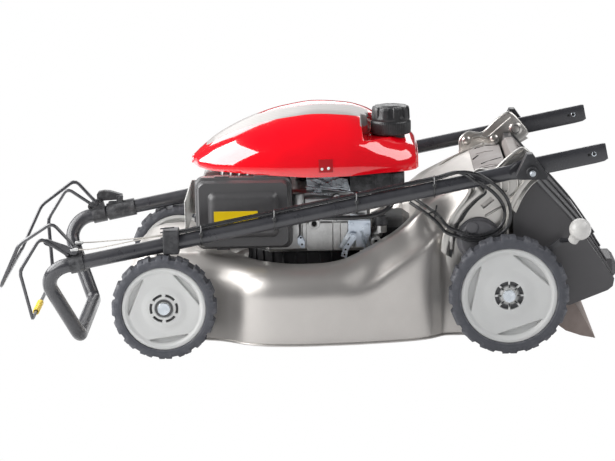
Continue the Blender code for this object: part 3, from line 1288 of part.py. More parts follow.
build_deck()
build_stays()
build_tunnel_cover()
build_rear_shroud()
build_drive_cover()
build_wheels()
build_front_axle()
build_rear_axle()
build_drive_shaft()
build_link_rod()
build_height_lever()
build_handle()
build_clamp_knobs()
build_bail_brackets()
build_bails()
build_console()
build_cable_guide()
build_cables()
build_guard()
build_skirt()
build_engine_base()
build_crankcase()
build_cylinder_head()
build_muffler_group()
build_filter()
build_top_cover()
build_fuel_system()
build_brackets()
build_spinning_group()
build_belt_drive()
centre_on_footprint()

print("root empty at x", round(ROOT.location.x, 5))
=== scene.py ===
import json
import math

import bmesh
import bpy
from mathutils import Matrix, Vector


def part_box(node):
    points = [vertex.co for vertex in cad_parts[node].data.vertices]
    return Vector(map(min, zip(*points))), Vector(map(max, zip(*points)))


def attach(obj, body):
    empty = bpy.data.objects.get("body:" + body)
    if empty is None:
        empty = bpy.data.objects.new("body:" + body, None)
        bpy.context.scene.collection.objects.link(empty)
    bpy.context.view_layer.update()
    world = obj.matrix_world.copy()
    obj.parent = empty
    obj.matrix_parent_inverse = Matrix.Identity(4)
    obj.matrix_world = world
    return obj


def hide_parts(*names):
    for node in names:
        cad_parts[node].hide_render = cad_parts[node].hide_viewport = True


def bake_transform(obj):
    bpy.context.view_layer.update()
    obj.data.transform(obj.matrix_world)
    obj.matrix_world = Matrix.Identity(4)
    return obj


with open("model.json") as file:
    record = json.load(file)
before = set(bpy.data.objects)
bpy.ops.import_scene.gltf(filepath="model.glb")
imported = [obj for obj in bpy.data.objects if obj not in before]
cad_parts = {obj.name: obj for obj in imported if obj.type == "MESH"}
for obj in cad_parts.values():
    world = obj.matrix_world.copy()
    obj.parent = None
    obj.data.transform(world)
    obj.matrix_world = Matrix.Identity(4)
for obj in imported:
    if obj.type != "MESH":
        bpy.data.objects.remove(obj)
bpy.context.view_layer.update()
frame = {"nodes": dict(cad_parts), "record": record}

# Mowing deck
# Pressed from one sheet of steel, with a deep rolled skirt, and a volute that climbs to the rear
# chute. It is painted in a fine metallic silver over a slight orange peel.

rim_low, rim_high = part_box("rim_front_left")
AXLE_X = (rim_low.x + rim_high.x) / 2
BODY_OF_NODE = {node: body for body, nodes in frame["record"]["behaviour"]["bodies"].items() for node in nodes}
BOTH_SIDES = (("left", -1), ("right", 1))
BEVEL_ANGLE = 28
MERGE = 0.00001
SHEET = 0.0025
WHEELBASE = 0.583
PIVOT = (0.622, 0.3135)


def shader_group(name, inputs, outputs):
    """An empty node group with its sockets; each input is a name, a kind and a value."""
    group = bpy.data.node_groups.new(name, "ShaderNodeTree")
    for title, kind, value in inputs:
        socket = group.interface.new_socket(name=title, in_out="INPUT", socket_type="NodeSocket" + kind)
        socket.default_value = value
    for title, kind in outputs:
        group.interface.new_socket(name=title, in_out="OUTPUT", socket_type="NodeSocket" + kind)
    return group, group.nodes.new("NodeGroupInput"), group.nodes.new("NodeGroupOutput")


def node(tree, kind, settings=None, **values):
    """A shader node with its settings and the values of its named sockets."""
    made = tree.nodes.new("ShaderNode" + kind)
    for key, value in (settings or {}).items():
        setattr(made, key, value)
    for key, value in values.items():
        made.inputs[key.replace("_", " ")].default_value = value
    return made


def wire(tree, *rows):
    """Links from rows of a node, its output, the next node and its input."""
    for source, out, target, into in rows:
        tree.links.new(source.outputs[out], target.inputs[into])


def build_grain_group():
    group, enter, leave = shader_group(
        "moulded_grain", [("Scale", "Float", 900.0), ("Cell", "Float", 0.5)], [("Height", "Float")])
    place = node(group, "TexCoord")
    fine = node(group, "TexNoise", Detail=3.0, Roughness=0.6)
    cells = node(group, "TexVoronoi")
    join = node(group, "Mix", {"data_type": "FLOAT"})
    for texture in (fine, cells):
        wire(group, (place, "Object", texture, "Vector"), (enter, "Scale", texture, "Scale"))
    wire(group, (enter, "Cell", join, 0), (fine, 0, join, 2), (cells, "Distance", join, 3), (join, 0, leave, "Height"))
    return group


def build_drift_group():
    group, enter, leave = shader_group(
        "tone_drift",
        [("Colour", "Color", (1, 1, 1, 1)), ("Other", "Color", (0, 0, 0, 1)), ("Scale", "Float", 20.0),
         ("Contrast", "Float", 0.3)],
        [("Colour", "Color"), ("Value", "Float")])
    place = node(group, "TexCoord")
    cloud = node(group, "TexNoise", Detail=5.0, Roughness=0.6)
    spread = node(group, "MapRange", {}, From_Min=0.3, From_Max=0.7)
    amount = node(group, "Math", {"operation": "MULTIPLY"})
    blend = node(group, "Mix", {"data_type": "RGBA"})
    wire(group, (place, "Object", cloud, "Vector"), (enter, "Scale", cloud, "Scale"), (cloud, 0, spread, "Value"),
         (spread, "Result", amount, 0), (enter, "Contrast", amount, 1), (amount, 0, blend, 0),
         (enter, "Colour", blend, 6), (enter, "Other", blend, 7), (blend, 2, leave, "Colour"),
         (spread, "Result", leave, "Value"))
    return group


def build_wear_group():
    group, enter, leave = shader_group(
        "edge_wear", [("Amount", "Float", 0.5), ("Scale", "Float", 60.0)], [("Mask", "Float")])
    place = node(group, "TexCoord")
    shape = node(group, "NewGeometry")
    cloud = node(group, "TexNoise", Detail=6.0, Roughness=0.7)
    edge = node(group, "MapRange", {}, From_Min=0.505, From_Max=0.56)
    patch = node(group, "MapRange", {}, From_Min=0.45, From_Max=0.65)
    both = node(group, "Math", {"operation": "MULTIPLY"})
    scaled = node(group, "Math", {"operation": "MULTIPLY", "use_clamp": True})
    wire(group, (place, "Object", cloud, "Vector"), (enter, "Scale", cloud, "Scale"),
         (shape, "Pointiness", edge, "Value"), (cloud, 0, patch, "Value"), (edge, "Result", both, 0),
         (patch, "Result", both, 1), (both, 0, scaled, 0), (enter, "Amount", scaled, 1), (scaled, 0, leave, "Mask"))
    return group


GRAIN = build_grain_group()
DRIFT = build_drift_group()
WEAR = build_wear_group()


def group_node(tree, group, **values):
    made = tree.nodes.new("ShaderNodeGroup")
    made.node_tree = group
    for key, value in values.items():
        made.inputs[key].default_value = value
    return made


def make_finish(name, colour, other, roughness, drift, grain, metallic=0.0, rough_span=0.06, wear=None,
                coat=0.0, coat_roughness=0.05, specular=0.5):
    """A finish: a drifting base colour, worn edges, a roughness that drifts with it, and a grain in relief."""
    mat = bpy.data.materials.new(name)
    mat.use_nodes = True
    tree = mat.node_tree
    shader = tree.nodes["Principled BSDF"]
    shader.inputs["Metallic"].default_value = metallic
    shader.inputs["Coat Weight"].default_value = coat
    shader.inputs["Coat Roughness"].default_value = coat_roughness
    shader.inputs["Specular IOR Level"].default_value = specular
    tone = group_node(tree, DRIFT, Colour=(*colour, 1), Other=(*other, 1), Scale=drift[0], Contrast=drift[1])
    paint = tone.outputs["Colour"]
    if wear:
        worn, amount, scale = wear
        mask = group_node(tree, WEAR, Amount=amount, Scale=scale)
        bare = node(tree, "Mix", {"data_type": "RGBA"})
        bare.inputs[7].default_value = (*worn, 1)
        wire(tree, (mask, "Mask", bare, 0), (tone, "Colour", bare, 6))
        paint = bare.outputs[2]
    tree.links.new(paint, shader.inputs["Base Color"])
    rough = node(tree, "MapRange", {}, To_Min=roughness - rough_span, To_Max=roughness + rough_span)
    relief = group_node(tree, GRAIN, Scale=grain[0], Cell=grain[1])
    bump = node(tree, "Bump", {}, Strength=1.0, Distance=grain[2])
    wire(tree, (tone, "Value", rough, "Value"), (rough, "Result", shader, "Roughness"),
         (relief, "Height", bump, "Height"), (bump, "Normal", shader, "Normal"))
    mat.diffuse_color = (*colour, 1)
    return mat


def smooth_table(table, x):
    """A smooth curve through a short list of (x, value), flat beyond its ends."""
    if x <= table[0][0]:
        return table[0][1]
    if x >= table[-1][0]:
        return table[-1][1]
    i = max(k for k in range(len(table) - 1) if table[k][0] <= x)

    def slope(k):
        if k == 0 or k == len(table) - 1:
            return 0.0
        before = (table[k][1] - table[k - 1][1]) / (table[k][0] - table[k - 1][0])
        after = (table[k + 1][1] - table[k][1]) / (table[k + 1][0] - table[k][0])
        return 0.0 if before * after < 0 else 2 * before * after / (before + after + 1e-12)

    (x0, v0), (x1, v1) = table[i], table[i + 1]
    width = x1 - x0
    t = (x - x0) / width
    return ((2 * t ** 3 - 3 * t ** 2 + 1) * v0 + (t ** 3 - 2 * t ** 2 + t) * width * slope(i)
            + (3 * t ** 2 - 2 * t ** 3) * v1 + (t ** 3 - t ** 2) * width * slope(i + 1))


def smooth_line(corners, per_span, closed=False):
    """A Catmull-Rom curve through points of any dimension."""
    points = [Vector(c) for c in corners]
    count = len(points)
    spans = count if closed else count - 1
    result = []
    for i in range(spans):
        if closed:
            a, b, c, d = (points[(i + k) % count] for k in (-1, 0, 1, 2))
        else:
            b, c = points[i], points[i + 1]
            a = points[i - 1] if i else b * 2 - c
            d = points[i + 2] if i + 2 < count else c * 2 - b
        for k in range(per_span):
            t = k / per_span
            result.append(0.5 * (2 * b + (c - a) * t + (2 * a - 5 * b + 4 * c - d) * t * t
                                 + (3 * b - a - 3 * c + d) * t ** 3))
    if not closed:
        result.append(points[-1])
    return result


def ease(low, high, x):
    t = min(1.0, max(0.0, (x - low) / (high - low)))
    return t * t * (3 - 2 * t)


def sheet_mesh(name, columns, around=True, closed_rows=False, cap_ends=False, pockets=None):
    """A quad mesh from columns of points; around joins the last column to the first, pockets gives each point its share
    of painted shade.
    """
    rows = len(columns[0])
    verts = [tuple(p) for column in columns for p in column]
    faces = []
    spans = len(columns) if around else len(columns) - 1
    for i in range(spans):
        j = (i + 1) % len(columns)
        for k in range(rows if closed_rows else rows - 1):
            m = (k + 1) % rows
            faces.append((i * rows + k, j * rows + k, j * rows + m, i * rows + m))
    if cap_ends:
        faces.append(tuple(range(rows)))
        faces.append(tuple((len(columns) - 1) * rows + k for k in range(rows)))
    mesh = bpy.data.meshes.new(name)
    mesh.from_pydata(verts, [], faces)
    # The painted shade of each point is kept on the mesh for its finish.
    if pockets:
        mesh.attributes.new("pocket_shade", "FLOAT", "POINT").data.foreach_set("value", pockets)
    square_up(mesh, 0.0 if pockets else MERGE)
    return mesh


def strip_mesh(name, columns):
    """A solid strip from closed sections along it."""
    return sheet_mesh(name, columns, around=False, closed_rows=True, cap_ends=True)


def square_up(mesh, merge=MERGE):
    bm = bmesh.new()
    bm.from_mesh(mesh)
    bmesh.ops.remove_doubles(bm, verts=bm.verts, dist=merge)
    bmesh.ops.recalc_face_normals(bm, faces=bm.faces)
    bm.to_mesh(mesh)
    bm.free()


def link_object(name, data):
    """A new object in the scene for a mesh, a lamp or a camera."""
    obj = bpy.data.objects.new(name, data)
    bpy.context.scene.collection.objects.link(obj)
    return obj


def with_modifiers(mesh, *steps):
    """The mesh after a list of modifiers, each a kind and its settings."""
    obj = link_object("work", mesh)
    tools = []
    for kind, settings in steps:
        step = obj.modifiers.new(kind, kind)
        for key, value in settings.items():
            if isinstance(value, bpy.types.Mesh):
                value = link_object("tool", value)
                tools.append(value)
            setattr(step, key, value)
    bpy.context.view_layer.update()
    graph = bpy.context.evaluated_depsgraph_get()
    result = bpy.data.meshes.new_from_object(obj.evaluated_get(graph), depsgraph=graph)
    for used in (obj, *tools):
        bpy.data.objects.remove(used, do_unlink=True)
    return result


def cut(mesh, *tools):
    """The mesh with each tool's form taken out of it."""
    return with_modifiers(mesh, *[("BOOLEAN", {"operation": "DIFFERENCE", "object": tool}) for tool in tools])


def rounded(mesh, width, segments=2):
    """Edges sharper than the bevel angle get a radius."""
    bevel = {"width": width, "segments": segments, "limit_method": "ANGLE", "angle_limit": math.radians(BEVEL_ANGLE)}
    return with_modifiers(mesh, ("BEVEL", bevel))


def mesh_of(bm, name):
    """The finished bmesh as a mesh."""
    mesh = bpy.data.meshes.new(name)
    bm.to_mesh(mesh)
    bm.free()
    return mesh


def joined(name, meshes):
    bm = bmesh.new()
    for mesh in meshes:
        bm.from_mesh(mesh)
    return mesh_of(bm, name)


def add_piece(name, mesh, finish, body, stands_for=(), sharp=40, weighted=True):
    """Places a mesh, or a list joined to one, counted from the front axle, and lets it ride on a body."""
    if isinstance(mesh, list):
        mesh = joined(name, mesh)
    mesh.name = name
    mesh.transform(Matrix.Translation((AXLE_X, 0, 0)))
    mesh.materials.clear()
    mesh.materials.append(finish)
    mesh.shade_smooth()
    mesh.set_sharp_from_angle(angle=math.radians(sharp))
    obj = link_object(name, mesh)
    if weighted:
        step = obj.modifiers.new("normals", "WEIGHTED_NORMAL")
        step.keep_sharp = True
        step.weight = 80
    if body:
        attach(obj, body)
    if stands_for:
        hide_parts(*stands_for)
    return obj


def solid_of(name):
    """A frame node's mesh counted from the front axle, with its flat faces whole again."""
    mesh = frame["nodes"][name].data.copy()
    bm = bmesh.new()
    bm.from_mesh(mesh)
    bmesh.ops.remove_doubles(bm, verts=bm.verts, dist=0.00002)
    bmesh.ops.dissolve_limit(bm, angle_limit=math.radians(1.5), verts=bm.verts, edges=bm.edges)
    bm.transform(Matrix.Translation((-AXLE_X, 0, 0)))
    for edge in bm.edges:
        edge.smooth = True
    bm.to_mesh(mesh)
    bm.free()
    return mesh


def dress(name, finish, width, segments=2):
    """A frame node shown with rounded edges and its own finish."""
    add_piece(name + "_made", rounded(solid_of(name), width, segments), finish, BODY_OF_NODE[name], (name,))


RIM_Z = 0.02
PLATE_Z = 0.122
CRANK_X = 0.235
CRANK_HOLE = 0.024
RECESS_RADIUS = 0.128
RECESS_REAR = 0.19
DECK_OUTLINE = [
    (-0.078, 0.0), (-0.077, 0.06), (-0.07, 0.115), (-0.046, 0.156), (-0.018, 0.17), (0.015, 0.178), (0.043, 0.183),
    (0.066, 0.1875), (0.088, 0.1935), (0.105, 0.202), (0.12, 0.213), (0.136, 0.2245), (0.155, 0.234), (0.18, 0.2412),
    (0.22, 0.245), (0.255, 0.2445), (0.29, 0.242), (0.32, 0.239), (0.35, 0.2345), (0.38, 0.229), (0.405, 0.2235),
    (0.43, 0.216), (0.45, 0.206), (0.464, 0.194), (0.472, 0.1865), (0.482, 0.1835), (0.5, 0.183), (0.52, 0.183),
    (0.548, 0.183), (0.575, 0.183),
]
DECK_REAR = [(0.5885, 0.1775), (0.59, 0.14), (0.59, 0.11), (0.59, 0.075), (0.59, 0.04), (0.59, 0.0)]
CREST_Z = [
    (-0.078, 0.148), (-0.02, 0.1625), (0.05, 0.163), (0.113, 0.156), (0.17, 0.149), (0.23, 0.1465), (0.265, 0.147),
    (0.299, 0.1515), (0.334, 0.165), (0.37, 0.184), (0.405, 0.205), (0.43, 0.226), (0.45, 0.243), (0.484, 0.262),
    (0.517, 0.277), (0.536, 0.2845), (0.56, 0.2905), (0.59, 0.2925),
]
WALL_Z = [
    (0.285, 0.098), (0.315, 0.1005), (0.342, 0.108), (0.363, 0.119), (0.383, 0.133), (0.404, 0.147), (0.426, 0.16),
    (0.449, 0.173), (0.475, 0.19), (0.52, 0.235), (0.575, 0.262), (0.59, 0.284),
]
STEP_RISE = [
    (0.0, 0.0), (0.05, 0.12), (0.15, 0.21), (0.32, 0.3), (0.48, 0.44), (0.62, 0.64), (0.78, 0.86), (0.9, 0.965),
    (1.0, 1.0),
]
CREST_INSET = [(0.3, 0.05), (0.42, 0.055), (0.472, 0.036), (0.575, 0.028), (0.59, 0.008)]


def recess_edge(x, y):
    """Where the line from the crank axis to this place meets the edge of the engine's recess."""
    dx = x - CRANK_X
    reach = math.hypot(dx, y)
    length, power = (RECESS_REAR, 4) if dx > 0 else (RECESS_RADIUS, 2)
    radius = ((abs(dx) / reach / length) ** power + (abs(y) / reach / RECESS_RADIUS) ** power) ** (-1 / power)
    return Vector((CRANK_X + radius * dx / reach, radius * y / reach))


def deck_column(x, y, inward):
    """One section of the deck from its rim over the crest and down to the crank hole."""
    rim = Vector((x, y))
    inset = smooth_table(CREST_INSET, x)
    wall = smooth_table(WALL_Z, x)
    crest = rim + inward * inset
    crest_z = smooth_table(CREST_Z, crest.x)
    step = ease(0.29, 0.375, x) * (1 - ease(0.47, 0.55, x))
    column = [(*(rim - inward * 0.0005), RIM_Z), (*(rim + inward * 0.0005), RIM_Z + 0.005)]
    for share in (0.25, 0.5, 0.75, 0.9):
        column.append((*(rim + inward * (0.0005 + 0.0025 * share)), RIM_Z + (wall - RIM_Z) * share))
    for k in range(17):
        t = k / 16
        out = 1 - math.cos(t * math.pi / 2)
        up = math.sin(t * math.pi / 2)
        out += (t - out) * step
        up += (smooth_table(STEP_RISE, t) - up) * step
        column.append((*(rim + inward * (0.003 + (inset - 0.003) * out)), wall + (crest_z - wall) * up))
    edge = recess_edge(x, y)
    span = (edge - crest).length
    shoulder = max(0.15, 1 - 0.022 / span)
    for share in (0.25, 0.5, 0.75, 1.0):
        place = crest.lerp(edge, shoulder * share)
        drop = 0.004 * share ** 3
        column.append((*place, smooth_table(CREST_Z, place.x) - drop))
    top = column[-1][2]
    start = crest.lerp(edge, shoulder)
    for k in range(1, 7):
        t = k / 6
        place = start.lerp(edge, 1 - (1 - t) ** 1.3)
        column.append((*place, PLATE_Z + (top - PLATE_Z) * (1 - t) ** 1.6))
    hole = Vector((CRANK_X, 0)) + (edge - Vector((CRANK_X, 0))).normalized() * CRANK_HOLE
    return column + [(*edge.lerp(hole, 0.5), PLATE_Z), (*hole, PLATE_Z)]


def deck_skin():
    half = [tuple(p) for p in smooth_line(DECK_OUTLINE, 4)] + DECK_REAR
    loop = half + [(x, -y) for x, y in reversed(half[1:-1])]
    inward = []
    for i, (x, y) in enumerate(loop):
        along_rim = (Vector(loop[(i + 1) % len(loop)]) - Vector(loop[i - 1])).normalized()
        across = Vector((-along_rim.y, along_rim.x))
        inward.append(-across if across.dot(Vector((CRANK_X - x, -y))) < 0 else across)
    for _ in range(6):
        inward = [(inward[i - 1] + way * 2 + inward[(i + 1) % len(loop)]).normalized() for i, way in enumerate(inward)]
    columns = [deck_column(x, y, way) for (x, y), way in zip(loop, inward)]
    return sheet_mesh("skin", columns)


def box_mesh(low, high, width=0.0, segments=2):
    bm = bmesh.new()
    bmesh.ops.create_cube(bm, size=1.0)
    size = [h - l for l, h in zip(low, high)]
    bm.transform(Matrix.Translation([(h + l) / 2 for l, h in zip(low, high)]) @ Matrix.Diagonal((*size, 1.0)))
    if width:
        bmesh.ops.bevel(bm, geom=bm.edges[:], offset=width, segments=segments, affect="EDGES", profile=0.5)
    return mesh_of(bm, "box")


def panel_mesh(outline, y0, y1, width=0.0):
    """An outline in X and Z with a thickness along Y, and rounded edges."""
    bm = bmesh.new()
    face = bm.faces.new([bm.verts.new((x, y0, z)) for x, z in outline])
    grown = bmesh.ops.extrude_face_region(bm, geom=[face])
    moved = [item for item in grown["geom"] if isinstance(item, bmesh.types.BMVert)]
    bmesh.ops.translate(bm, verts=moved, vec=(0, y1 - y0, 0))
    bmesh.ops.recalc_face_normals(bm, faces=bm.faces)
    mesh = mesh_of(bm, "panel")
    return rounded(mesh, width) if width else mesh


def bar_mesh(points, radius, sides=16, closed=False):
    """A round bar swept along points, with flat ends or closed to a ring."""
    path = [Vector(p) for p in points]
    count = len(path)
    heads = []
    for i in range(count):
        before = path[i - 1] if (i or closed) else path[i]
        after = path[(i + 1) % count] if (i < count - 1 or closed) else path[i]
        heads.append((after - before).normalized())
    side = heads[0].orthogonal().normalized()
    columns = []
    for i in range(count):
        side = (side - heads[i] * side.dot(heads[i])).normalized()
        up = heads[i].cross(side)
        ring = [math.tau * k / sides for k in range(sides)]
        columns.append([path[i] + side * (radius * math.cos(a)) + up * (radius * math.sin(a)) for a in ring])
    return sheet_mesh("bar", columns, around=closed, closed_rows=True, cap_ends=not closed)


def spun(profile, turn):
    """A profile of radius and height at one turn round Z."""
    return [(r * math.cos(turn), r * math.sin(turn), z) for r, z in profile]


def plug(radius, low, high):
    """The profile of a plain round bar."""
    return [(0.0, low), (radius, low), (radius, high), (0.0, high)]


def turned_mesh(profile, steps, place=None, closed=False):
    """A profile of radius and height spun round Z, then placed."""
    mesh = sheet_mesh("turned", [spun(profile, math.tau * k / steps) for k in range(steps)], closed_rows=closed)
    if place:
        mesh.transform(place)
    return mesh


def facing(place, direction):
    """A matrix whose local Z points along the direction from the place."""
    turn = Vector((0, 0, 1)).rotation_difference(Vector(direction)).to_matrix().to_4x4()
    return Matrix.Translation(place) @ turn


def hex_bolt(place, direction, across, height, washer):
    """A hexagon head with its chamfer, on a washer."""
    profile = [(washer * 0.3, 0.0), (washer, 0.0), (washer, 0.001), (washer * 0.97, 0.0013), (washer * 0.3, 0.0013)]
    head = [
        (0.0, 0.001), (across / 2 * 1.15, 0.001), (across / 2 * 1.15, height - 0.0008), (across / 2 * 0.98, height),
        (0.0, height),
    ]
    whole = joined("bolt", [turned_mesh(profile, 24, closed=True), turned_mesh(head, 6)])
    whole.transform(facing(place, direction))
    return whole


DECK_PAINT = make_finish(
    "silver_deck_paint", (0.62, 0.59, 0.56), (0.53, 0.505, 0.48), 0.4, metallic=0.85, drift=(9.0, 0.6),
    rough_span=0.03, grain=(380.0, 0.25, 0.00016), wear=((0.62, 0.6, 0.57), 0.5, 90.0), coat=0.2, coat_roughness=0.1)


def floor_z(x):
    return 0.117 + (x - 0.478) * 0.012 / 0.154


skin = with_modifiers(deck_skin(), ("SOLIDIFY", {"thickness": SHEET, "offset": -1.0}))
square_up(skin)
opening = box_mesh((0.568, -0.15, floor_z(0.59) + 0.004), (0.61, 0.15, 0.268))
skin = cut(skin, opening)
chute_floor = [(x, floor_z(x) - depth) for x, depth in ((0.478, 0.0), (0.632, 0.0), (0.632, 0.0023), (0.478, 0.0023))]
tabs = [panel_mesh([(0.605, 0.116), (0.646, 0.112), (0.646, 0.127), (0.605, 0.1285)], s * 0.153, s * 0.1585, 0.001)
        for _, s in BOTH_SIDES]
whole_deck = [skin, panel_mesh(chute_floor, -0.158, 0.158), *tabs]
add_piece("deck_pressing", whole_deck, DECK_PAINT, "deck", ("deck_shell",), sharp=50)

rim_loop = [tuple(p) for p in smooth_line(DECK_OUTLINE, 3)]
ROLL_RADIUS = 0.0022
rolled = [bar_mesh([(x, s * y, RIM_Z + ROLL_RADIUS) for x, y in rim_loop[2:-8]], ROLL_RADIUS, 8) for s in (1, -1)]
add_piece("deck_rim_roll", rolled, DECK_PAINT, "deck")

# Rear stays
# Two pressed steel plates welded beside the chute. Each carries the handle's pivot, the hinge of the
# guard and the rear axle, and is stiffened by a raised border.

STAY_PAINT = make_finish(
    "stay_paint", (0.58, 0.56, 0.53), (0.48, 0.465, 0.44), 0.33, metallic=0.9, drift=(14.0, 0.5),
    grain=(500.0, 0.3, 0.00005), wear=((0.66, 0.65, 0.62), 0.6, 70.0), coat=0.2, coat_roughness=0.12)
STAY_INNER_Y = 0.1833
STAY_OUTLINE = [
    (0.481, 0.205), (0.48, 0.178), (0.48, 0.15), (0.494, 0.105), (0.503, 0.062), (0.515, 0.052), (0.543, 0.052),
    (0.556, 0.062), (0.573, 0.11), (0.581, 0.15), (0.584, 0.2), (0.592, 0.237), (0.605, 0.2635), (0.622, 0.286),
    (0.64, 0.2985), (0.6455, 0.307), (0.633, 0.325), (0.617, 0.3425), (0.605, 0.3445), (0.582, 0.328), (0.5625, 0.3095),
    (0.551, 0.3085), (0.537, 0.3105), (0.524, 0.3035), (0.5175, 0.291), (0.5175, 0.272), (0.501, 0.249), (0.487, 0.227),
]
STAY_SLOT = [(0.544, 0.24), (0.562, 0.2545), (0.556, 0.261), (0.5385, 0.2465)]


def ring_stack(name, rings):
    """A closed skin through a stack of equal loops, with a flat face over each end."""
    return sheet_mesh(name, [list(ring) + [ring[0]] for ring in rings], around=False, cap_ends=True)


def inset_loop(loop, depth):
    """An anticlockwise outline moved inward by a depth, or by one depth for each point."""
    depths = depth if isinstance(depth, list) else [depth] * len(loop)
    result = []
    for i, point in enumerate(loop):
        ahead = (Vector(loop[(i + 1) % len(loop)]) - Vector(loop[i - 1])).normalized()
        result.append(Vector(point) + Vector((-ahead.y, ahead.x)) * depths[i])
    return result


def stay_mesh(side):
    """The plate with its raised border, its pressed ribs and the seat of the handle's pivot."""
    outline = smooth_line(STAY_OUTLINE, 3, closed=True)
    tall = [0.0057 * ease(0.165, 0.19, z) for _, z in outline]
    wide = [0.006 + 0.006 * (1 - ease(0.49, 0.516, x)) + 0.003 * ease(0.585, 0.6, x) * (1 - ease(0.29, 0.305, z))
            for x, z in outline]
    inner, outer = STAY_INNER_Y, STAY_INNER_Y + SHEET
    rings = []
    for inset, y in ((0.005, 0.0), (0.0032, 0.0003), (0.0016, 0.001), (0.0005, 0.0019), (0.0, 0.0025)):
        rings.append([(q.x, side * (inner + y), q.y) for q in inset_loop(outline, inset)])
    for inset, share in ((0.0002, 0.75), (0.0008, 0.93), (0.0018, 1.0)):
        rings.append([(q.x, side * (outer + share * t), q.y) for q, t in zip(inset_loop(outline, inset), tall)])
    for inset, share in ((-0.002, 1.0), (-0.0007, 0.9), (0.0008, 0.25), (0.0026, 0.0)):
        edge = inset_loop(outline, [w + inset for w in wide])
        rings.append([(q.x, side * (outer + share * t), q.y) for q, t in zip(edge, tall)])
    plate = ring_stack("stay", rings)
    plate = cut(plate, panel_mesh(STAY_SLOT, side * 0.17, side * 0.205))
    out = side * (outer - 0.0002)
    back = side * (inner + 0.0002)
    pockets = [
        [(0.5738, 0.29), (0.5748, 0.2749), (0.5788, 0.269), (0.585, 0.27), (0.5866, 0.276), (0.5867, 0.29)],
        [(0.6011, 0.296), (0.602, 0.2783), (0.5985, 0.269), (0.588, 0.2612)],
        [(0.546, 0.2276), (0.56, 0.2356), (0.58, 0.2469)], [(0.556, 0.28), (0.548, 0.275), (0.542, 0.266)],
    ]
    parts = [plate]
    parts += [bar_mesh(smooth_line([(x, out, z) for x, z in line], 5), 0.0021, 8) for line in pockets]
    crease = [(0.5437, 0.2985), (0.554, 0.3012), (0.569, 0.2985), (0.583, 0.308), (0.6141, 0.3345)]
    parts.append(bar_mesh(smooth_line([(x, back, z) for x, z in crease], 6), 0.0026, 10))
    for x, z, size in ((0.5324, 0.2935, 0.0085), (0.583, 0.295, 0.009)):
        dome = [(size * math.cos(math.radians(a)), 0.0045 * math.sin(math.radians(a))) for a in range(0, 91, 15)]
        dome = [(size * 1.04, -0.001), *dome[:-1], (0.0, 0.0045)]
        parts.append(turned_mesh(dome, 28, facing((x, back, z), (0, -side, 0))))
    seat = [(0.0, 0.0), (0.0135, 0.0), (0.0135, 0.0125), (0.0125, 0.0135), (0.0, 0.0135)]
    parts.append(turned_mesh(seat, 32, facing((PIVOT[0], side * (outer - 0.0005), PIVOT[1]), (0, side, 0))))
    lip = [(0.5925, 0.2385), (0.605, 0.2655), (0.622, 0.2875), (0.64, 0.299)]
    edges = []
    for x, z in smooth_line(lip, 5):
        edges.append([
            (x - 0.001, side * (outer + 0.004), z + 0.0008), (x + 0.0048, side * (outer + 0.008), z - 0.004),
            (x + 0.0058, side * (outer + 0.007), z - 0.0048), (x, side * (outer + 0.0022), z)])
    parts.append(strip_mesh("lip", edges))
    return joined("stay", parts)


FLANGE_OUTER = [
    (0.5289, 0.28), (0.5245, 0.2696), (0.5055, 0.2521), (0.4922, 0.2351), (0.4841, 0.218), (0.4761, 0.2033),
    (0.471, 0.1851), (0.4695, 0.1697),
]
FLANGE_INNER = [
    (0.5377, 0.2794), (0.5432, 0.2679), (0.5277, 0.2532), (0.5125, 0.2367), (0.5026, 0.2207), (0.495, 0.2093),
    (0.4871, 0.1791), (0.4835, 0.1598),
]
GROOVE_WIDTH = 0.0062
# Painted shade: a near black strip laid in the groove behind the stay's rolled edge stands for the groove's shade.
GROOVE_SHADE_PAINT = make_finish(
    "stay_groove_painted_shade_shade", (0.03, 0.03, 0.031), (0.05, 0.05, 0.051), 0.6, drift=(40.0, 0.4), grain=(500.0, 0.4, 0.00004))


def flange_meshes(side):
    """The rolled edge along the stay's front, and behind it a near black strip that paints the shade in the deep
    groove.
    """
    outer, inner = smooth_line(FLANGE_OUTER, 6), smooth_line(FLANGE_INNER, 6)
    y = STAY_INNER_Y + 0.0022
    roll, groove_shade = [], []
    for p, q in zip(outer, inner):
        across = (q - p).normalized()
        low, high = q - across * 0.001, q + across * GROOVE_WIDTH
        heights = (
            (0.0, -0.003), (0.0, 0.003), (0.12, 0.0052), (0.35, 0.0064), (0.65, 0.0064), (0.9, 0.005), (1.0, 0.002),
            (1.0, -0.003),
        )
        roll.append([(p.x + (q.x - p.x) * t, side * (y + lift), p.y + (q.y - p.y) * t) for t, lift in heights])
        groove_shade.append([(low.x, side * (y - 0.003), low.y), (low.x, side * (y + 0.0017), low.y),
                       (high.x, side * (y + 0.0013), high.y), (high.x, side * (y - 0.003), high.y)])
    return [strip_mesh("flange", rows) for rows in (roll, groove_shade)]


for word, side in BOTH_SIDES:
    roll, groove_shade = flange_meshes(side)
    add_piece("stay_edge_" + word, roll, STAY_PAINT, "deck", sharp=50)
    add_piece("stay_groove_painted_shade_" + word, groove_shade, GROOVE_SHADE_PAINT, "deck")
    add_piece("stay_" + word + "_made", stay_mesh(side), STAY_PAINT, "deck", ("stay_" + word,), sharp=45)
    head = [(0.0, -0.001), (0.012, -0.001), (0.0122, 0.0004), (0.0105, 0.0022), (0.0065, 0.0036), (0.0, 0.004)]
    coach_head = turned_mesh(head, 32, facing((PIVOT[0], side * STAY_INNER_Y, PIVOT[1]), (0, -side, 0)))
    add_piece("coach_bolt_" + word, coach_head, STAY_PAINT, "deck")

# Chute cover
# A moulded grey lid over the slots at the top of the chute.

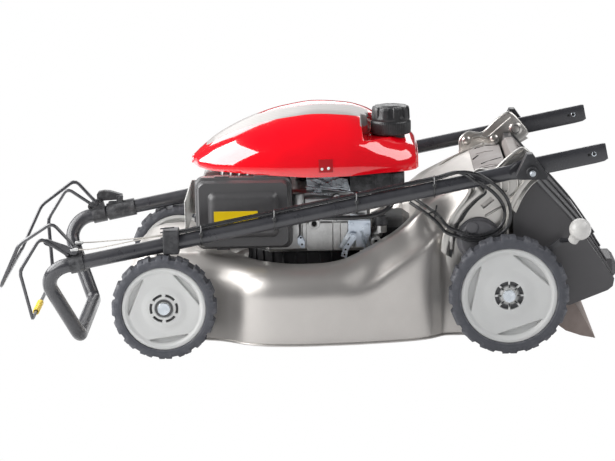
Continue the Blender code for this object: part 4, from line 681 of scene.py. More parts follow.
CHUTE_PLASTIC = make_finish(
    "chute_cover_plastic", (0.22, 0.195, 0.182), (0.185, 0.163, 0.152), 0.48, drift=(25.0, 0.4),
    grain=(700.0, 0.6, 0.00006))
dress("tunnel_cover", CHUTE_PLASTIC, 0.0008)
# Painted shade: near black bars laid on the lid stand for the shade inside its slots.
SLOT_SHADE = make_finish(
    "chute_slot_painted_shade", (0.03, 0.026, 0.025), (0.045, 0.04, 0.038), 0.6, drift=(60.0, 0.4), grain=(700.0, 0.5, 0.00004))
slots = []
for line in (
        [(0.548, -0.0436), (0.57, -0.025), (0.584, -0.012)], [(0.5365, 0.0211), (0.546, 0.04)],
        [(0.5435, 0.115), (0.565, 0.1165), (0.584, 0.116)], [(0.548, -0.09), (0.57, -0.088), (0.584, -0.086)]):
    route = smooth_line([(x, y, smooth_table(CREST_Z, x) + 0.0036) for x, y in line], 5)
    slots.append(bar_mesh(route, 0.0013, 8))
add_piece("chute_cover_slots", slots, SLOT_SHADE, "deck")

# Black mouldings on the deck
# The shroud behind the engine and the round cover over the drive, both in grained black plastic; the shroud's finish is
# darkened further as painted shade of the recess.

BLACK_PLASTIC = make_finish(
    "black_plastic", (0.02, 0.02, 0.022), (0.034, 0.034, 0.036), 0.4, drift=(30.0, 0.5), rough_span=0.07,
    grain=(900.0, 0.5, 0.00006), wear=((0.16, 0.16, 0.165), 0.4, 80.0))
# The shroud is a black moulding; its finish is darker and less shiny than the other black plastic to paint the deep
# shade in the recess behind the engine.
SHROUD_SHADE_PLASTIC = make_finish(
    "shroud_plastic_painted_shade", (0.008, 0.008, 0.009), (0.014, 0.014, 0.015), 0.55, drift=(30.0, 0.5),
    grain=(900.0, 0.5, 0.00006), specular=0.3)
dress("rear_shroud", SHROUD_SHADE_PLASTIC, 0.0012, 3)
cover_profile = [
    (0.0, -0.0005), (0.038, -0.0005), (0.038, 0.003), (0.0368, 0.0042), (0.0345, 0.0046), (0.033, 0.009),
    (0.031, 0.0114), (0.028, 0.0124), (0.015, 0.0128), (0.0, 0.0128),
]
drive_dome = turned_mesh(cover_profile, 56, facing((0.535, -0.1862, 0.188), (0, -1, 0)))
boss_profile = [(0.0, 0.0), (0.0105, 0.0), (0.01, 0.0016), (0.0085, 0.0022), (0.0, 0.0022)]
drive_boss = turned_mesh(boss_profile, 28, facing((0.5235, -0.1985, 0.2105), (0, -1, 0)))
DRIVE_GREY = make_finish(
    "drive_cover_grey", (0.1, 0.098, 0.104), (0.135, 0.132, 0.138), 0.42, drift=(30.0, 0.5),
    grain=(700.0, 0.5, 0.00006))
add_piece("drive_cover_made", [drive_dome, drive_boss], DRIVE_GREY, "deck", ("drive_cover",), sharp=45)
ring_profile = [
    (0.0, 0.1223), (0.0995, 0.1223), (0.1, 0.1232), (0.1, 0.1262), (0.0992, 0.1272), (0.0955, 0.1278), (0.0955, 0.149),
    (0.094, 0.1512), (0.0915, 0.1518), (0.0, 0.1518),
]
base_parts = [turned_mesh(ring_profile, 96, Matrix.Translation((CRANK_X, 0, 0)))]
for k in range(28):
    rib = box_mesh((0.0945, -0.0011, 0.1275), (0.0988, 0.0011, 0.1495), 0.0005, 1)
    rib.transform(Matrix.Translation((CRANK_X, 0, 0)) @ Matrix.Rotation(math.tau * (k + 0.35) / 28, 4, "Z"))
    base_parts.append(rib)
add_piece("engine_base_made", base_parts, BLACK_PLASTIC, "deck", ("engine_base",), sharp=45)

# Wheels
# Light grey moulded discs with three sunk crescents and a ring of slots round the hub bolt, in black
# tyres with blocky lugs. Each turns on a stub axle held by a zinc plated bolt.

TYRE_RUBBER = make_finish(
    "tyre_rubber", (0.052, 0.054, 0.064), (0.075, 0.077, 0.088), 0.62, drift=(22.0, 0.6), rough_span=0.1,
    grain=(600.0, 0.4, 0.0001), wear=((0.2, 0.2, 0.21), 0.6, 70.0))
RIM_PLASTIC = make_finish(
    "rim_plastic", (0.53, 0.53, 0.515), (0.48, 0.48, 0.465), 0.38, drift=(12.0, 0.5), grain=(1100.0, 0.3, 0.00003))


def paint_pocket_shade(mat):
    """Painted shade: the disc's paint darkens towards a dark grey where its mesh is marked, fully in the hub slots and
    moat, a little on the crescent floors.
    """
    tree = mat.node_tree
    shader = tree.nodes["Principled BSDF"]
    mark = node(tree, "Attribute", {"attribute_name": "pocket_shade", "attribute_type": "GEOMETRY"})
    shade = node(tree, "Mix", {"data_type": "RGBA"})
    # Painted shade: the dark grey that the marked recesses darken to.
    shade.inputs[7].default_value = (0.075, 0.075, 0.078, 1)
    tree.links.new(shader.inputs["Base Color"].links[0].from_socket, shade.inputs[6])
    wire(tree, (mark, "Fac", shade, 0), (shade, 2, shader, "Base Color"))


paint_pocket_shade(RIM_PLASTIC)
ZINC = make_finish(
    "zinc_plate", (0.62, 0.66, 0.7), (0.5, 0.54, 0.58), 0.3, metallic=1.0, drift=(140.0, 0.6), rough_span=0.1,
    grain=(500.0, 0.5, 0.00003))
LUGS = 16
LUG_PITCH = math.tau / LUGS
LUG_FLAT = 0.3
HUB_BORE = 0.0063
CRESCENT_FLOOR = 0.0022


def off_lug(turn):
    """How far this turn is from the middle of the nearest lug, as a share of the pitch."""
    return abs(((turn + math.pi / 2) / LUG_PITCH + 0.5) % 1.0 - 0.5)


def lug_height(turn, across):
    """1 on a lug and 0 in a groove; the two rows of lugs meet at a middle groove."""
    share = off_lug(turn)
    edge = 1 - ease(LUG_FLAT, 0.36, share)
    middle = ease(0.03, 0.06, abs(across - 0.5))
    sipe = 1 - 0.35 * (1 - ease(0.012, 0.03, share)) * ease(0.25, 0.3, abs(across - 0.5))
    return edge * middle * sipe


def tyre_mesh(radius, bore, width):
    columns = []
    steps = LUGS * 20
    for i in range(steps):
        turn = math.tau * i / steps
        tread = radius / math.cos(min(off_lug(turn), LUG_FLAT) * LUG_PITCH)
        low = lug_height(turn, 0.0)
        column = [
            (bore, 0.002), (bore + 0.0015, 0.0006), (bore + 0.004, 0.0006), (bore + 0.005, 0.0), (radius - 0.0125, 0.0),
            (radius - 0.0095, 0.0003), (radius - 0.0075 + 0.002 * low, 0.0006 + 0.001 * (1 - low)),
            (tread - 0.0052 + 0.0025 * low, 0.0022),
        ]
        for k in range(11):
            across = k / 10
            z = 0.0055 + (width - 0.011) * across
            crown = 0.0006 * (2 * across - 1) ** 2
            column.append((tread - crown - 0.005 * (1 - lug_height(turn, across)) - (0.0006 if k in (0, 10) else 0), z))
        column += [(r, width - z) for r, z in reversed(column[:8])]
        columns.append(spun(column, turn))
    return sheet_mesh("tyre", columns, closed_rows=True)


def crescent_depth(r, turn, disc, middle):
    """0 outside a crescent and 1 on its floor: round outside, straight inside."""
    outer = disc * 0.865
    chord = outer * math.cos(math.radians(37.0))
    along_r = r * math.cos(turn - middle)
    return ease(0, CRESCENT_FLOOR, outer - r) * ease(0, CRESCENT_FLOOR, along_r - chord) if along_r > 0 else 0.0


def disc_mesh(disc, hollow, width, pockets, hub):
    """The disc's outer face as relief over radius and angle, and its turned back; each point carries its share of
    painted shade for the paint.
    """
    face = width - 0.0055
    first, last, slots, share_open = hub
    radii = [HUB_BORE, 0.0108, 0.0113, 0.0119, 0.0126, 0.014, 0.015, 0.0156, 0.0163, 0.0175, 0.019]
    radii += [first - 0.0006, first, first + 0.0006, (first + last) / 2, last - 0.0006, last, last + 0.0006, 0.0275]
    radii += [0.0275 + (disc - 0.0115 - 0.0275) * (k + 1) / 44 for k in range(44)]
    radii += [
        disc - 0.0095, disc - 0.008, disc - 0.0068, disc - 0.0055, disc - 0.0045, disc - 0.0015, disc - 0.0006,
        disc - 0.0003,
    ]
    columns, depths = [], []
    steps = 288
    for i in range(steps):
        turn = math.tau * i / steps
        column = []
        for r in radii:
            dish = -0.0015 * ease(0.0275, disc * 0.55, r) + 0.0015 * ease(disc * 0.55, disc - 0.012, r)
            lip = 0.003 * ease(disc - 0.0105, disc - 0.0055, r) - 0.0012 * ease(disc - 0.0016, disc - 0.0003, r)
            z = face + dish + lip
            sunk = max(crescent_depth(r, turn, disc, m) for m in pockets)
            z -= 0.0048 * sunk
            share = ((turn * slots / math.tau) + 0.5) % 1.0 - 0.5
            if slots == 6:
                gap = 1 - ease(share_open - 0.02, share_open + 0.02, abs(share))
            else:
                gap = ease(0.1, 0.13, abs(share) * (r / 0.019))
            ring = ease(first - 0.0005, first + 0.0005, r) * (1 - ease(last - 0.0005, last + 0.0005, r)) * gap
            z -= 0.006 * ring
            moat = ease(0.0108, 0.0116, r) * (1 - ease(0.015, 0.016, r)) if slots == 6 else 0.0
            z -= 0.003 * moat
            column.append((r, z))
            # Painted shade in the recesses: full in the hub slots, 0.9 in the moat, 0.22 of the depth on the crescent
            # floors.
            depths.append(max(ring, 0.9 * moat, 0.22 * sunk))
        back = [
            (disc - 0.0003, 0.0015), (hollow, 0.0015), (hollow, face - 0.0165), (0.018, face - 0.0145), (0.018, 0.004),
            (HUB_BORE, 0.004),
        ]
        depths += [0.0] * len(back)
        columns.append(spun(column + back, turn))
    return sheet_mesh("disc", columns, closed_rows=True, pockets=depths)


def hub_bolt(width):
    """The hub bolt's flanged round head with a shallow hexagon."""
    z = width - 0.0055
    flange = [
        (0.0, z + 0.0004), (0.0098, z + 0.0004), (0.0104, z + 0.0008), (0.0104, z + 0.0022), (0.0096, z + 0.003),
        (0.0078, z + 0.0032), (0.0, z + 0.0032),
    ]
    crown = [(0.0, z + 0.003), (0.0062, z + 0.003), (0.0062, z + 0.0046), (0.0056, z + 0.0052), (0.0, z + 0.005)]
    return joined("bolt", [turned_mesh(flange, 40), turned_mesh(crown, 6)])


for end, x, radius, disc, hollow, outer, width, turns, hub in (
        ("front", 0.0, 0.089, 0.0715, 0.0655, 0.244, 0.041, (157, 39, 278), (0.0205, 0.0242, 6, 0.36)),
        ("rear", WHEELBASE, 0.1015, 0.0815, 0.0755, 0.248, 0.0375, (167, 49, 288), (0.0139, 0.024, 8, 0.0))):
    for word, side in BOTH_SIDES:
        place = Matrix.Translation((x, side * (outer - width), radius)) @ Matrix.Rotation(-side * math.pi / 2, 4, "X")
        middles = [math.radians(t if side < 0 else 180 - t) for t in turns]
        body = f"wheel_{end}_{word}"
        tyre, rim, bolt = tyre_mesh(radius, disc, width), disc_mesh(disc, hollow, width, middles, hub), hub_bolt(width)
        for mesh in (tyre, rim, bolt):
            mesh.transform(place)
        add_piece(f"tyre_{end}_{word}_made", tyre, TYRE_RUBBER, body, (f"tyre_{end}_{word}",), sharp=48)
        add_piece(f"disc_{end}_{word}", rim, RIM_PLASTIC, body, (f"rim_{end}_{word}",), sharp=60)
        add_piece(f"hub_bolt_{end}_{word}", bolt, ZINC, end + "_height")

# Axles and height setting
# Zinc plated arms swing the wheels up and down. A flat lever with a moulded ball turns the rear axle,
# and a rod under the deck turns the front one with it.

for part in ("front_axle", "rear_axle", "drive_shaft", "link_rod"):
    dress(part, ZINC, 0.0007)
TUBE_PAINT = make_finish(
    "tube_paint", (0.03, 0.03, 0.034), (0.048, 0.048, 0.053), 0.3, drift=(24.0, 0.5), rough_span=0.05,
    grain=(700.0, 0.2, 0.00003), wear=((0.13, 0.13, 0.135), 0.35, 60.0), coat=0.3, coat_roughness=0.2)
dress("height_lever", TUBE_PAINT, 0.0006)
BALL_PLASTIC = make_finish(
    "ball_knob_plastic", (0.56, 0.545, 0.52), (0.5, 0.49, 0.465), 0.28, drift=(25.0, 0.4), grain=(800.0, 0.3, 0.00003))
BALL_RADIUS = 0.0185
ball = Vector((0.702, -0.2445, 0.214))
tip = Vector((0.692, -0.2335, 0.1945))
knob_profile = [
    (0.0045, -0.004), (0.0075, -0.0042), (0.0088, -0.003), (0.0092, 0.004), (0.0098, 0.0085), (0.0112, 0.0105),
]
for k in range(15):
    turn = math.radians(-52 + 142 * k / 14)
    knob_profile.append((BALL_RADIUS * math.cos(turn), (ball - tip).length + BALL_RADIUS * math.sin(turn)))
knob_profile[-1] = (0.0, knob_profile[-1][1])
knob = turned_mesh(knob_profile, 40, facing(tip, (ball - tip).normalized()))
add_piece("height_ball", knob, BALL_PLASTIC, "rear_height", ("height_knob",), sharp=50)

# Handle
# One bent steel tube, painted charcoal. Its lower ends are pressed flat where they bolt to the stays.

TUBE_TIP = (0.75, 0.338)
TUBE_CORNER = (-0.2104, 0.152)
TUBE_SLOPE = (TUBE_TIP[1] - TUBE_CORNER[1]) / (TUBE_TIP[0] - TUBE_CORNER[0])
TUBE_Y = 0.212
TUBE_RADIUS = 0.0125
GRIP_Y = 0.135
FLAT_THICKNESS = 0.0105
FLAT_START = 0.584
TIP_RADIUS = 0.0062
TIP_HOLE_X = 0.7285
BEND_STEP = 6.0


def bent_path(corners, radii):
    """A polyline whose inner corners are arcs."""
    points = [Vector(corners[0])]
    for i in range(1, len(corners) - 1):
        corner = Vector(corners[i])
        back = (Vector(corners[i - 1]) - corner).normalized()
        ahead = (Vector(corners[i + 1]) - corner).normalized()
        half = back.angle(ahead) / 2
        reach = radii[i - 1] / math.tan(half)
        centre = corner + (back + ahead).normalized() * radii[i - 1] / math.sin(half)
        first = corner + back * reach - centre
        last = corner + ahead * reach - centre
        sweep = first.angle(last)
        steps = max(2, math.ceil(math.degrees(sweep) / BEND_STEP))
        for k in range(steps + 1):
            points.append(centre + Matrix.Rotation(sweep * k / steps, 3, first.cross(last)) @ first)
    points.append(Vector(corners[-1]))
    return points


def tube_z(x):
    return TUBE_TIP[1] + TUBE_SLOPE * (x - TUBE_TIP[0])


def handle_mesh():
    grip = (-0.155, 0.02)
    corners = [
        (TUBE_TIP[0], -TUBE_Y, TUBE_TIP[1]), (TUBE_CORNER[0], -TUBE_Y, TUBE_CORNER[1]), (grip[0], -GRIP_Y, grip[1]),
        (grip[0], GRIP_Y, grip[1]), (TUBE_CORNER[0], TUBE_Y, TUBE_CORNER[1]), (TUBE_TIP[0], TUBE_Y, TUBE_TIP[1]),
    ]
    path = bent_path(corners, (0.04, 0.02, 0.02, 0.04))
    steps = (0.0, 0.001, 0.003, 0.006, 0.02, 0.06, 0.1, *[0.126 + 0.003 * k for k in range(20)])
    lead = [Vector((TUBE_TIP[0] - d, 0, 0)) for d in steps]
    near = [Vector((v.x, -TUBE_Y, tube_z(v.x))) for v in lead]
    far = [Vector((v.x, TUBE_Y, tube_z(v.x))) for v in reversed(lead)]
    mesh = bar_mesh([*near, *path[1:-1], *far], TUBE_RADIUS, 28)
    inner = TUBE_Y - TUBE_RADIUS
    for vert in mesh.vertices:
        x, y, z = vert.co
        if x < FLAT_START:
            continue
        part = ease(FLAT_START, 0.604, x)
        across = (abs(y) - inner) / (2 * TUBE_RADIUS)
        narrow = 2 * TUBE_RADIUS + (FLAT_THICKNESS - 2 * TUBE_RADIUS) * part
        end = 1.0
        if x >= TUBE_TIP[0] - TIP_RADIUS:
            end = 0.8 + 0.2 * math.sqrt(max(0.0, (TUBE_TIP[0] - x) / TIP_RADIUS))
        tall = (1 + 0.24 * part) * end
        height = (z - tube_z(x)) * tall
        boxy = math.copysign(abs(2 * across - 1) ** (1 - 0.55 * part), 2 * across - 1)
        vert.co = (x, math.copysign(inner + (boxy + 1) / 2 * narrow, y), tube_z(x) + height)
    return mesh


add_piece("handle_bar", handle_mesh(), TUBE_PAINT, "handle", ("handle_tube",), sharp=50)

holes, tip_shades = [], []
for _, side in BOTH_SIDES:
    for y, way in ((TUBE_Y - TUBE_RADIUS, -1), (TUBE_Y - TUBE_RADIUS + FLAT_THICKNESS, 1)):
        rim = [
            (0.0022, -0.0006), (0.004, -0.0006), (0.004, 0.0002), (0.0034, 0.0007), (0.0026, 0.0007), (0.0022, 0.0002),
        ]
        place = facing((TIP_HOLE_X, side * y, tube_z(TIP_HOLE_X) + 0.0012), (0, side * way, 0))
        holes.append(turned_mesh(rim, 28, place, closed=True))
        # Painted shade: near black slits and flat discs stand for the shade inside the slot and the hole in each flat
        # end.
        low, high = sorted((side * (y - way * 0.0005), side * (y + way * 0.0003)))
        foot = tube_z(0.72)
        tip_shades.append(box_mesh((0.7178, low, foot - 0.0005), (0.7222, high, foot + 0.0035), 0.0002, 1))
        tip_shades.append(turned_mesh(plug(0.0023, -0.0005, 0.0003), 20, place))
add_piece("handle_tip_holes", holes, ZINC, "handle")
# Painted shade: the near black finish for holes and slits.
HOLE_SHADE = make_finish(
    "hole_painted_shade", (0.004, 0.004, 0.004), (0.008, 0.008, 0.008), 0.8, drift=(90.0, 0.4), grain=(900.0, 0.5, 0.00003))
add_piece("handle_tip_slits", tip_shades, HOLE_SHADE, "handle")

# Clamp knobs
# Three-cornered moulded nuts that clamp the handle to the stays.

for word, side in BOTH_SIDES:
    dress("clamp_knob_" + word, BLACK_PLASTIC, 0.0028, 4)
    bolt = hex_bolt((PIVOT[0], side * 0.2625, PIVOT[1]), (0, side, 0), 0.0075, 0.0034, 0.0052)
    add_piece("knob_bolt_" + word, bolt, ZINC, "knob_" + word)

# Bails and their brackets
# Two bent rods hinge in moulded brackets on the handle: the outer one drives, the inner one brakes.

for word, side in BOTH_SIDES:
    dress("bail_bracket_" + word, BLACK_PLASTIC, 0.0008)
for part in ("drive_bail", "brake_bail"):
    dress(part, TUBE_PAINT, 0.0004, 1)

# Console and thumb paddle
# A moulded housing clipped on the far tube, with a ribbed paddle for the speed.

for part in ("console", "console_paddle", "cable_guide"):
    dress(part, BLACK_PLASTIC, 0.0008)
guide_ribs = [bar_mesh([(-0.0025, -0.2268, z), (0.01, -0.2272, z + 0.0011), (0.0215, -0.2268, z + 0.0022)], 0.0011, 8)
              for z in (0.2243, 0.2177, 0.2084, 0.199)]
add_piece("cable_guide_ribs", guide_ribs, BLACK_PLASTIC, "handle")
sleeve_profile = [(0.003, -0.035), (0.0052, -0.035), (0.0058, -0.034), (0.0058, 0.034), (0.0052, 0.035), (0.003, 0.035)]
SLEEVE_YELLOW = make_finish(
    "brake_sleeve_yellow", (0.72, 0.5, 0.02), (0.64, 0.44, 0.016), 0.36, drift=(60.0, 0.4), grain=(700.0, 0.4, 0.00003))
sleeve = turned_mesh(sleeve_profile, 24, facing((-0.232, -0.08, 0.058), (0, 1, 0)), closed=True)
add_piece("brake_sleeve", sleeve, SLEEVE_YELLOW, "inner_bail")

# Control cables
# Two black sheathed cables leave the guide, lie on the tube, and loop past the stay to the deck.

CABLE_SHEATH = make_finish(
    "cable_sheath", (0.014, 0.014, 0.015), (0.028, 0.028, 0.03), 0.28, drift=(40.0, 0.5), rough_span=0.05,
    grain=(900.0, 0.3, 0.00002), coat=0.3, coat_roughness=0.15)
CABLE_WIRE = make_finish(
    "cable_wire", (0.74, 0.7, 0.64), (0.62, 0.58, 0.53), 0.3, metallic=0.6, drift=(200.0, 0.5),
    grain=(900.0, 0.3, 0.00002))
SHEATH_RADIUS = 0.003
for part, lane, start, loop in (
    ("brake_cable", -0.2162, (-0.144, -0.2185, 0.1895), [
        (0.5, -0.2235, 0.3108), (0.532, -0.2312, 0.3078), (0.56, -0.23, 0.29), (0.58, -0.22, 0.266),
        (0.588, -0.21, 0.24), (0.585, -0.2065, 0.216), (0.569, -0.206, 0.199), (0.545, -0.206, 0.1905),
        (0.52, -0.2055, 0.19), (0.497, -0.2045, 0.1975), (0.478, -0.199, 0.2045), (0.464, -0.192, 0.22),
        (0.445, -0.178, 0.234), (0.42, -0.158, 0.248)]),
    ("drive_cable", -0.2078, (-0.1375, -0.1955, 0.1965), [
        (0.5, -0.214, 0.309), (0.528, -0.231, 0.2975), (0.553, -0.23, 0.281), (0.57, -0.22, 0.261),
        (0.578, -0.209, 0.239), (0.575, -0.2055, 0.219), (0.562, -0.2055, 0.206), (0.543, -0.2055, 0.199),
        (0.521, -0.205, 0.1985), (0.501, -0.2045, 0.206), (0.482, -0.201, 0.214), (0.467, -0.191, 0.231),
        (0.449, -0.178, 0.243), (0.426, -0.16, 0.256)]),
):
    run = [(x, lane, tube_z(x) + 0.0172) for x in (0.001, 0.032, 0.12, 0.21, 0.3, 0.395, 0.462)]
    sheath = bar_mesh(smooth_line(run, 6), SHEATH_RADIUS, 14)
    add_piece(part + "_sheath", sheath, CABLE_SHEATH, "handle", (part,), sharp=60)
    bend = bar_mesh(smooth_line([run[-2], run[-1], *loop], 8)[7:], SHEATH_RADIUS, 14)
    piece = add_piece(part + "_loop", bend, CABLE_SHEATH, None, sharp=60, weighted=False)
    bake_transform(piece)
    bare = [
        start, (start[0] + 0.03, start[1], start[2] + 0.0012), (-0.03, lane - 0.0005, tube_z(-0.03) + 0.019), run[0],
    ]
    add_piece(part + "_wire", bar_mesh(smooth_line(bare, 6), 0.001, 8), CABLE_WIRE, "handle")
    nipple = [(0.0, -0.0135), (0.0026, -0.0135), (0.003, -0.0125), (0.003, -0.002), (0.0022, 0.0), (0.0, 0.0)]
    place = facing((start[0] + 0.001, start[1], start[2] + 0.0002), (1, 0, 0.05))
    nipple = turned_mesh(nipple, 20, place)
    add_piece(part + "_nipple", nipple, RIM_PLASTIC, "handle")
ties = []
for x in (0.066, 0.19, 0.329, 0.4602):
    ring = []
    for k in range(24):
        turn = math.tau * k / 24
        across, up = 0.0142 * math.cos(turn), 0.0142 * math.sin(turn)
        if up > 0:
            up = min(up * 1.52, 0.0206)
        ring.append((x, -TUBE_Y + across, tube_z(x) + up))
    ties.append(bar_mesh(ring, 0.0013, 6, closed=True))
    low, high = (x - 0.003, -TUBE_Y - 0.0165, tube_z(x) + 0.004), (x + 0.003, -TUBE_Y - 0.0118, tube_z(x) + 0.01)
    ties.append(box_mesh(low, high, 0.0008, 1))
add_piece("cable_ties", ties, CABLE_SHEATH, "handle")
bow = []
for a, b in (
        ((0.45, -0.205, 0.249), (0.469, -0.207, 0.232)), ((0.464, -0.206, 0.252), (0.46, -0.208, 0.23)),
        ((0.46, -0.206, 0.241), (0.446, -0.207, 0.237))):
    bow.append(bar_mesh([a, tuple((p + q) / 2 for p, q in zip(a, b)), b], 0.0014, 8))
add_piece("cable_tie_tails", bow, CABLE_SHEATH, "deck")

# Discharge guard and trailing skirt
# A sprung flap of ribbed black plastic covers the chute, and a rubber skirt trails under it.

GUARD_PLASTIC = make_finish(
    "guard_plastic", (0.074, 0.071, 0.073), (0.092, 0.089, 0.091), 0.4, drift=(12.0, 0.5), rough_span=0.05,
    grain=(800.0, 0.5, 0.00006))
SKIRT_RUBBER = make_finish(
    "skirt_rubber", (0.34, 0.275, 0.245), (0.25, 0.205, 0.185), 0.7, drift=(60.0, 0.6), rough_span=0.08,
    grain=(400.0, 0.5, 0.00012))
dress("discharge_guard", GUARD_PLASTIC, 0.003, 3)
dress("trailing_skirt", SKIRT_RUBBER, 0.0006, 1)
hinge = [
    (0.5925, 0.293), (0.5925, 0.301), (0.5985, 0.3092), (0.605, 0.3102), (0.6125, 0.3092), (0.625, 0.2955),
    (0.6235, 0.293),
]
hinge_cover = panel_mesh(hinge, -0.118, 0.118, 0.0016)
add_piece("guard_hinge_cover", hinge_cover, CHUTE_PLASTIC, "guard")
ridge = [(0.6165, 0.3045), (0.644, 0.2715), (0.686, 0.2255), (0.718, 0.1875), (0.743, 0.1515), (0.764, 0.119)]
ribs = [bar_mesh(smooth_line([(x, side * y, z) for x, z in ridge], 5), 0.0018, 8)
        for _, side in BOTH_SIDES for y in (0.06, 0.176)]
add_piece("guard_ridges", ribs, GUARD_PLASTIC, "guard")

# Engine castings
# Die cast aluminium, sandblasted, with a black enamelled muffler behind a painted heat guard.

CAST_ALUMINIUM = make_finish(
    "cast_aluminium", (0.66, 0.66, 0.65), (0.52, 0.52, 0.515), 0.4, metallic=0.95, drift=(30.0, 0.6), rough_span=0.08,
    grain=(500.0, 0.4, 0.00012), wear=((0.78, 0.78, 0.77), 0.5, 90.0))
for part in ("crankcase", "cylinder_head", "carburettor", "flywheel", "gearbox"):
    dress(part, CAST_ALUMINIUM, 0.001)
BLACK_STEEL = make_finish(
    "black_steel", (0.06, 0.06, 0.062), (0.1, 0.1, 0.1), 0.45, metallic=0.7, drift=(40.0, 0.5),
    grain=(500.0, 0.4, 0.00008), wear=((0.45, 0.45, 0.45), 0.6, 60.0))
for part in ("muffler", "crankshaft", "blade"):
    dress(part, BLACK_STEEL, 0.0008)
GUARD_PAINT = make_finish(
    "heat_guard_paint", (0.58, 0.58, 0.56), (0.5, 0.5, 0.48), 0.42, metallic=0.2, drift=(30.0, 0.5),
    grain=(500.0, 0.4, 0.00005))
dress("muffler_guard", GUARD_PAINT, 0.0008)

# Engine fittings on the near side
# The breather, the crumpled heat shield, the governor's strip and springs, and the fuel hose: thin
# plated sheet, cast bosses and black rubber, bolted to the crankcase.

NEAR_SIDE = -0.0985
BLUE_PLATE = make_finish(
    "passivated_plate", (0.66, 0.72, 0.8), (0.54, 0.6, 0.68), 0.32, metallic=0.8, drift=(60.0, 0.5),
    grain=(500.0, 0.4, 0.00004))
shield = [
    (0.2436, 0.2717), (0.2438, 0.2819), (0.2611, 0.2831), (0.2696, 0.2806), (0.2781, 0.2754), (0.2897, 0.2802),
    (0.3013, 0.2838), (0.3142, 0.282), (0.3168, 0.2703), (0.3196, 0.2644), (0.301, 0.2677), (0.2808, 0.2666),
    (0.2636, 0.269),
]
flap = [(0.258, 0.2707), (0.266, 0.272), (0.2692, 0.2603), (0.2548, 0.2576)]
shield_parts = [panel_mesh(shield, -0.1085, NEAR_SIDE, 0.0009), panel_mesh(flap, -0.111, NEAR_SIDE, 0.0006)]
for line in (
        [(0.25, 0.281), (0.26, 0.275), (0.27, 0.2715)], [(0.2781, 0.2754), (0.285, 0.27)],
        [(0.313, 0.2815), (0.308, 0.27)], [(0.2897, 0.2802), (0.296, 0.273), (0.304, 0.269)]):
    shield_parts.append(bar_mesh([(x, -0.1085, z) for x, z in line], 0.001, 8))
add_piece("heat_shield", shield_parts, ZINC, "deck")
rod = [(0.2408, 0.2706), (0.2894, 0.2644), (0.318, 0.2603), (0.3295, 0.2586), (0.3425, 0.2657)]
throttle_rod = bar_mesh(smooth_line([(x, -0.1165, z) for x, z in rod], 5), 0.0012, 8)
add_piece("throttle_rod", throttle_rod, ZINC, "deck")
bowl = [
    (0.0, 0.2355), (0.0105, 0.2355), (0.0115, 0.2365), (0.0115, 0.256), (0.0108, 0.258), (0.009, 0.259), (0.0, 0.259),
]
castings = [turned_mesh(bowl, 40, Matrix.Translation((0.2285, -0.108, 0)))]
for x0, x1, y, z0, z1, width in (
        (0.24, 0.332, -0.115, 0.2355, 0.25, 0.0022), (0.241, 0.2865, -0.106, 0.155, 0.205, 0.0015),
        (0.288, 0.3002, -0.104, 0.155, 0.205, 0.0012), (0.301, 0.3132, -0.1075, 0.155, 0.205, 0.0012)):
    castings.append(box_mesh((x0, y, z0), (x1, -0.09, z1), width))
for place, size, height in (
        ((0.2949, -0.1145, 0.2505), 0.006, 0.004), ((0.2551, -0.1055, 0.2036), 0.01, 0.003),
        ((0.361, -0.118, 0.1737), 0.0085, 0.01)):
    boss = [
        (size * 0.45, -0.006), (size, -0.006), (size, height - 0.0008), (size * 0.93, height), (size * 0.55, height),
        (size * 0.45, height - 0.0008),
    ]
    castings.append(turned_mesh(boss, 32, facing(place, (0, -1, 0)), closed=True))
add_piece("crankcase_bosses", castings, CAST_ALUMINIUM, "deck")
breather = [
    (0.3138, 0.1865), (0.3142, 0.21), (0.353, 0.2093), (0.3527, 0.1858), (0.3422, 0.1624), (0.3278, 0.1627),
    (0.3253, 0.1863),
]
strip = [
    (0.3167, 0.1881), (0.3282, 0.1879), (0.328, 0.1791), (0.3133, 0.1588), (0.3101, 0.1441), (0.3001, 0.1487),
    (0.3062, 0.1648), (0.3165, 0.1793),
]
lug = [(0.2257, 0.1785), (0.2316, 0.1843), (0.2386, 0.1724), (0.2383, 0.162), (0.2325, 0.1607), (0.2255, 0.1697)]
breather_plate = panel_mesh(breather, -0.1135, NEAR_SIDE, 0.0008)
add_piece("breather_plate", breather_plate, BLUE_PLATE, "deck")
strips = [panel_mesh(strip, -0.1215, -0.1195, 0.0004), panel_mesh(lug, -0.1095, NEAR_SIDE, 0.0005)]
strips.append(box_mesh((0.319, -0.12, 0.182), (0.325, NEAR_SIDE, 0.186), 0.0008, 1))
strips += [hex_bolt(place, (0, -1, 0), *sizes) for place, sizes in (
    ((0.3215, -0.1215, 0.1838), (0.0075, 0.004, 0.0055)), ((0.346, -0.1135, 0.2), (0.007, 0.0035, 0.005)),
    ((0.32, -0.1135, 0.204), (0.006, 0.003, 0.0045)))]
add_piece("governor_strip", strips, BLUE_PLATE, "deck")
# Painted shade: near black discs stand for the shade in the fittings' holes, and a strip for the shade along the
# breather plate's edge.
hole_shades = []
for x, y, z, size in (
        (0.2315, -0.1096, 0.1799, 0.0018), (0.2333, -0.1096, 0.168, 0.0018), (0.3132, -0.1216, 0.1692, 0.0017),
        (0.3085, -0.1216, 0.16, 0.0017), (0.3065, -0.1216, 0.151, 0.0017), (0.2551, -0.1085, 0.2036, 0.0042)):
    hole_shades.append(turned_mesh(plug(size, -0.0006, 0.0002), 20, facing((x, y, z), (0, -1, 0))))
hole_shades.append(box_mesh((0.3524, -0.115, 0.164), (0.354, NEAR_SIDE, 0.211), 0.0004, 1))
add_piece("fitting_holes", hole_shades, HOLE_SHADE, "deck")


def spring_mesh(start, end, coils, radius, thickness):
    """A close coil between two places."""
    start = Vector(start)
    along_coil = Vector(end) - start
    side = along_coil.orthogonal().normalized()
    up = along_coil.normalized().cross(side)
    points = []
    for k in range(coils * 12 + 1):
        turn = math.tau * k / 12
        middle = start + along_coil * (k / (coils * 12))
        points.append(middle + side * (radius * math.cos(turn)) + up * (radius * math.sin(turn)))
    return bar_mesh(points, thickness, 6)


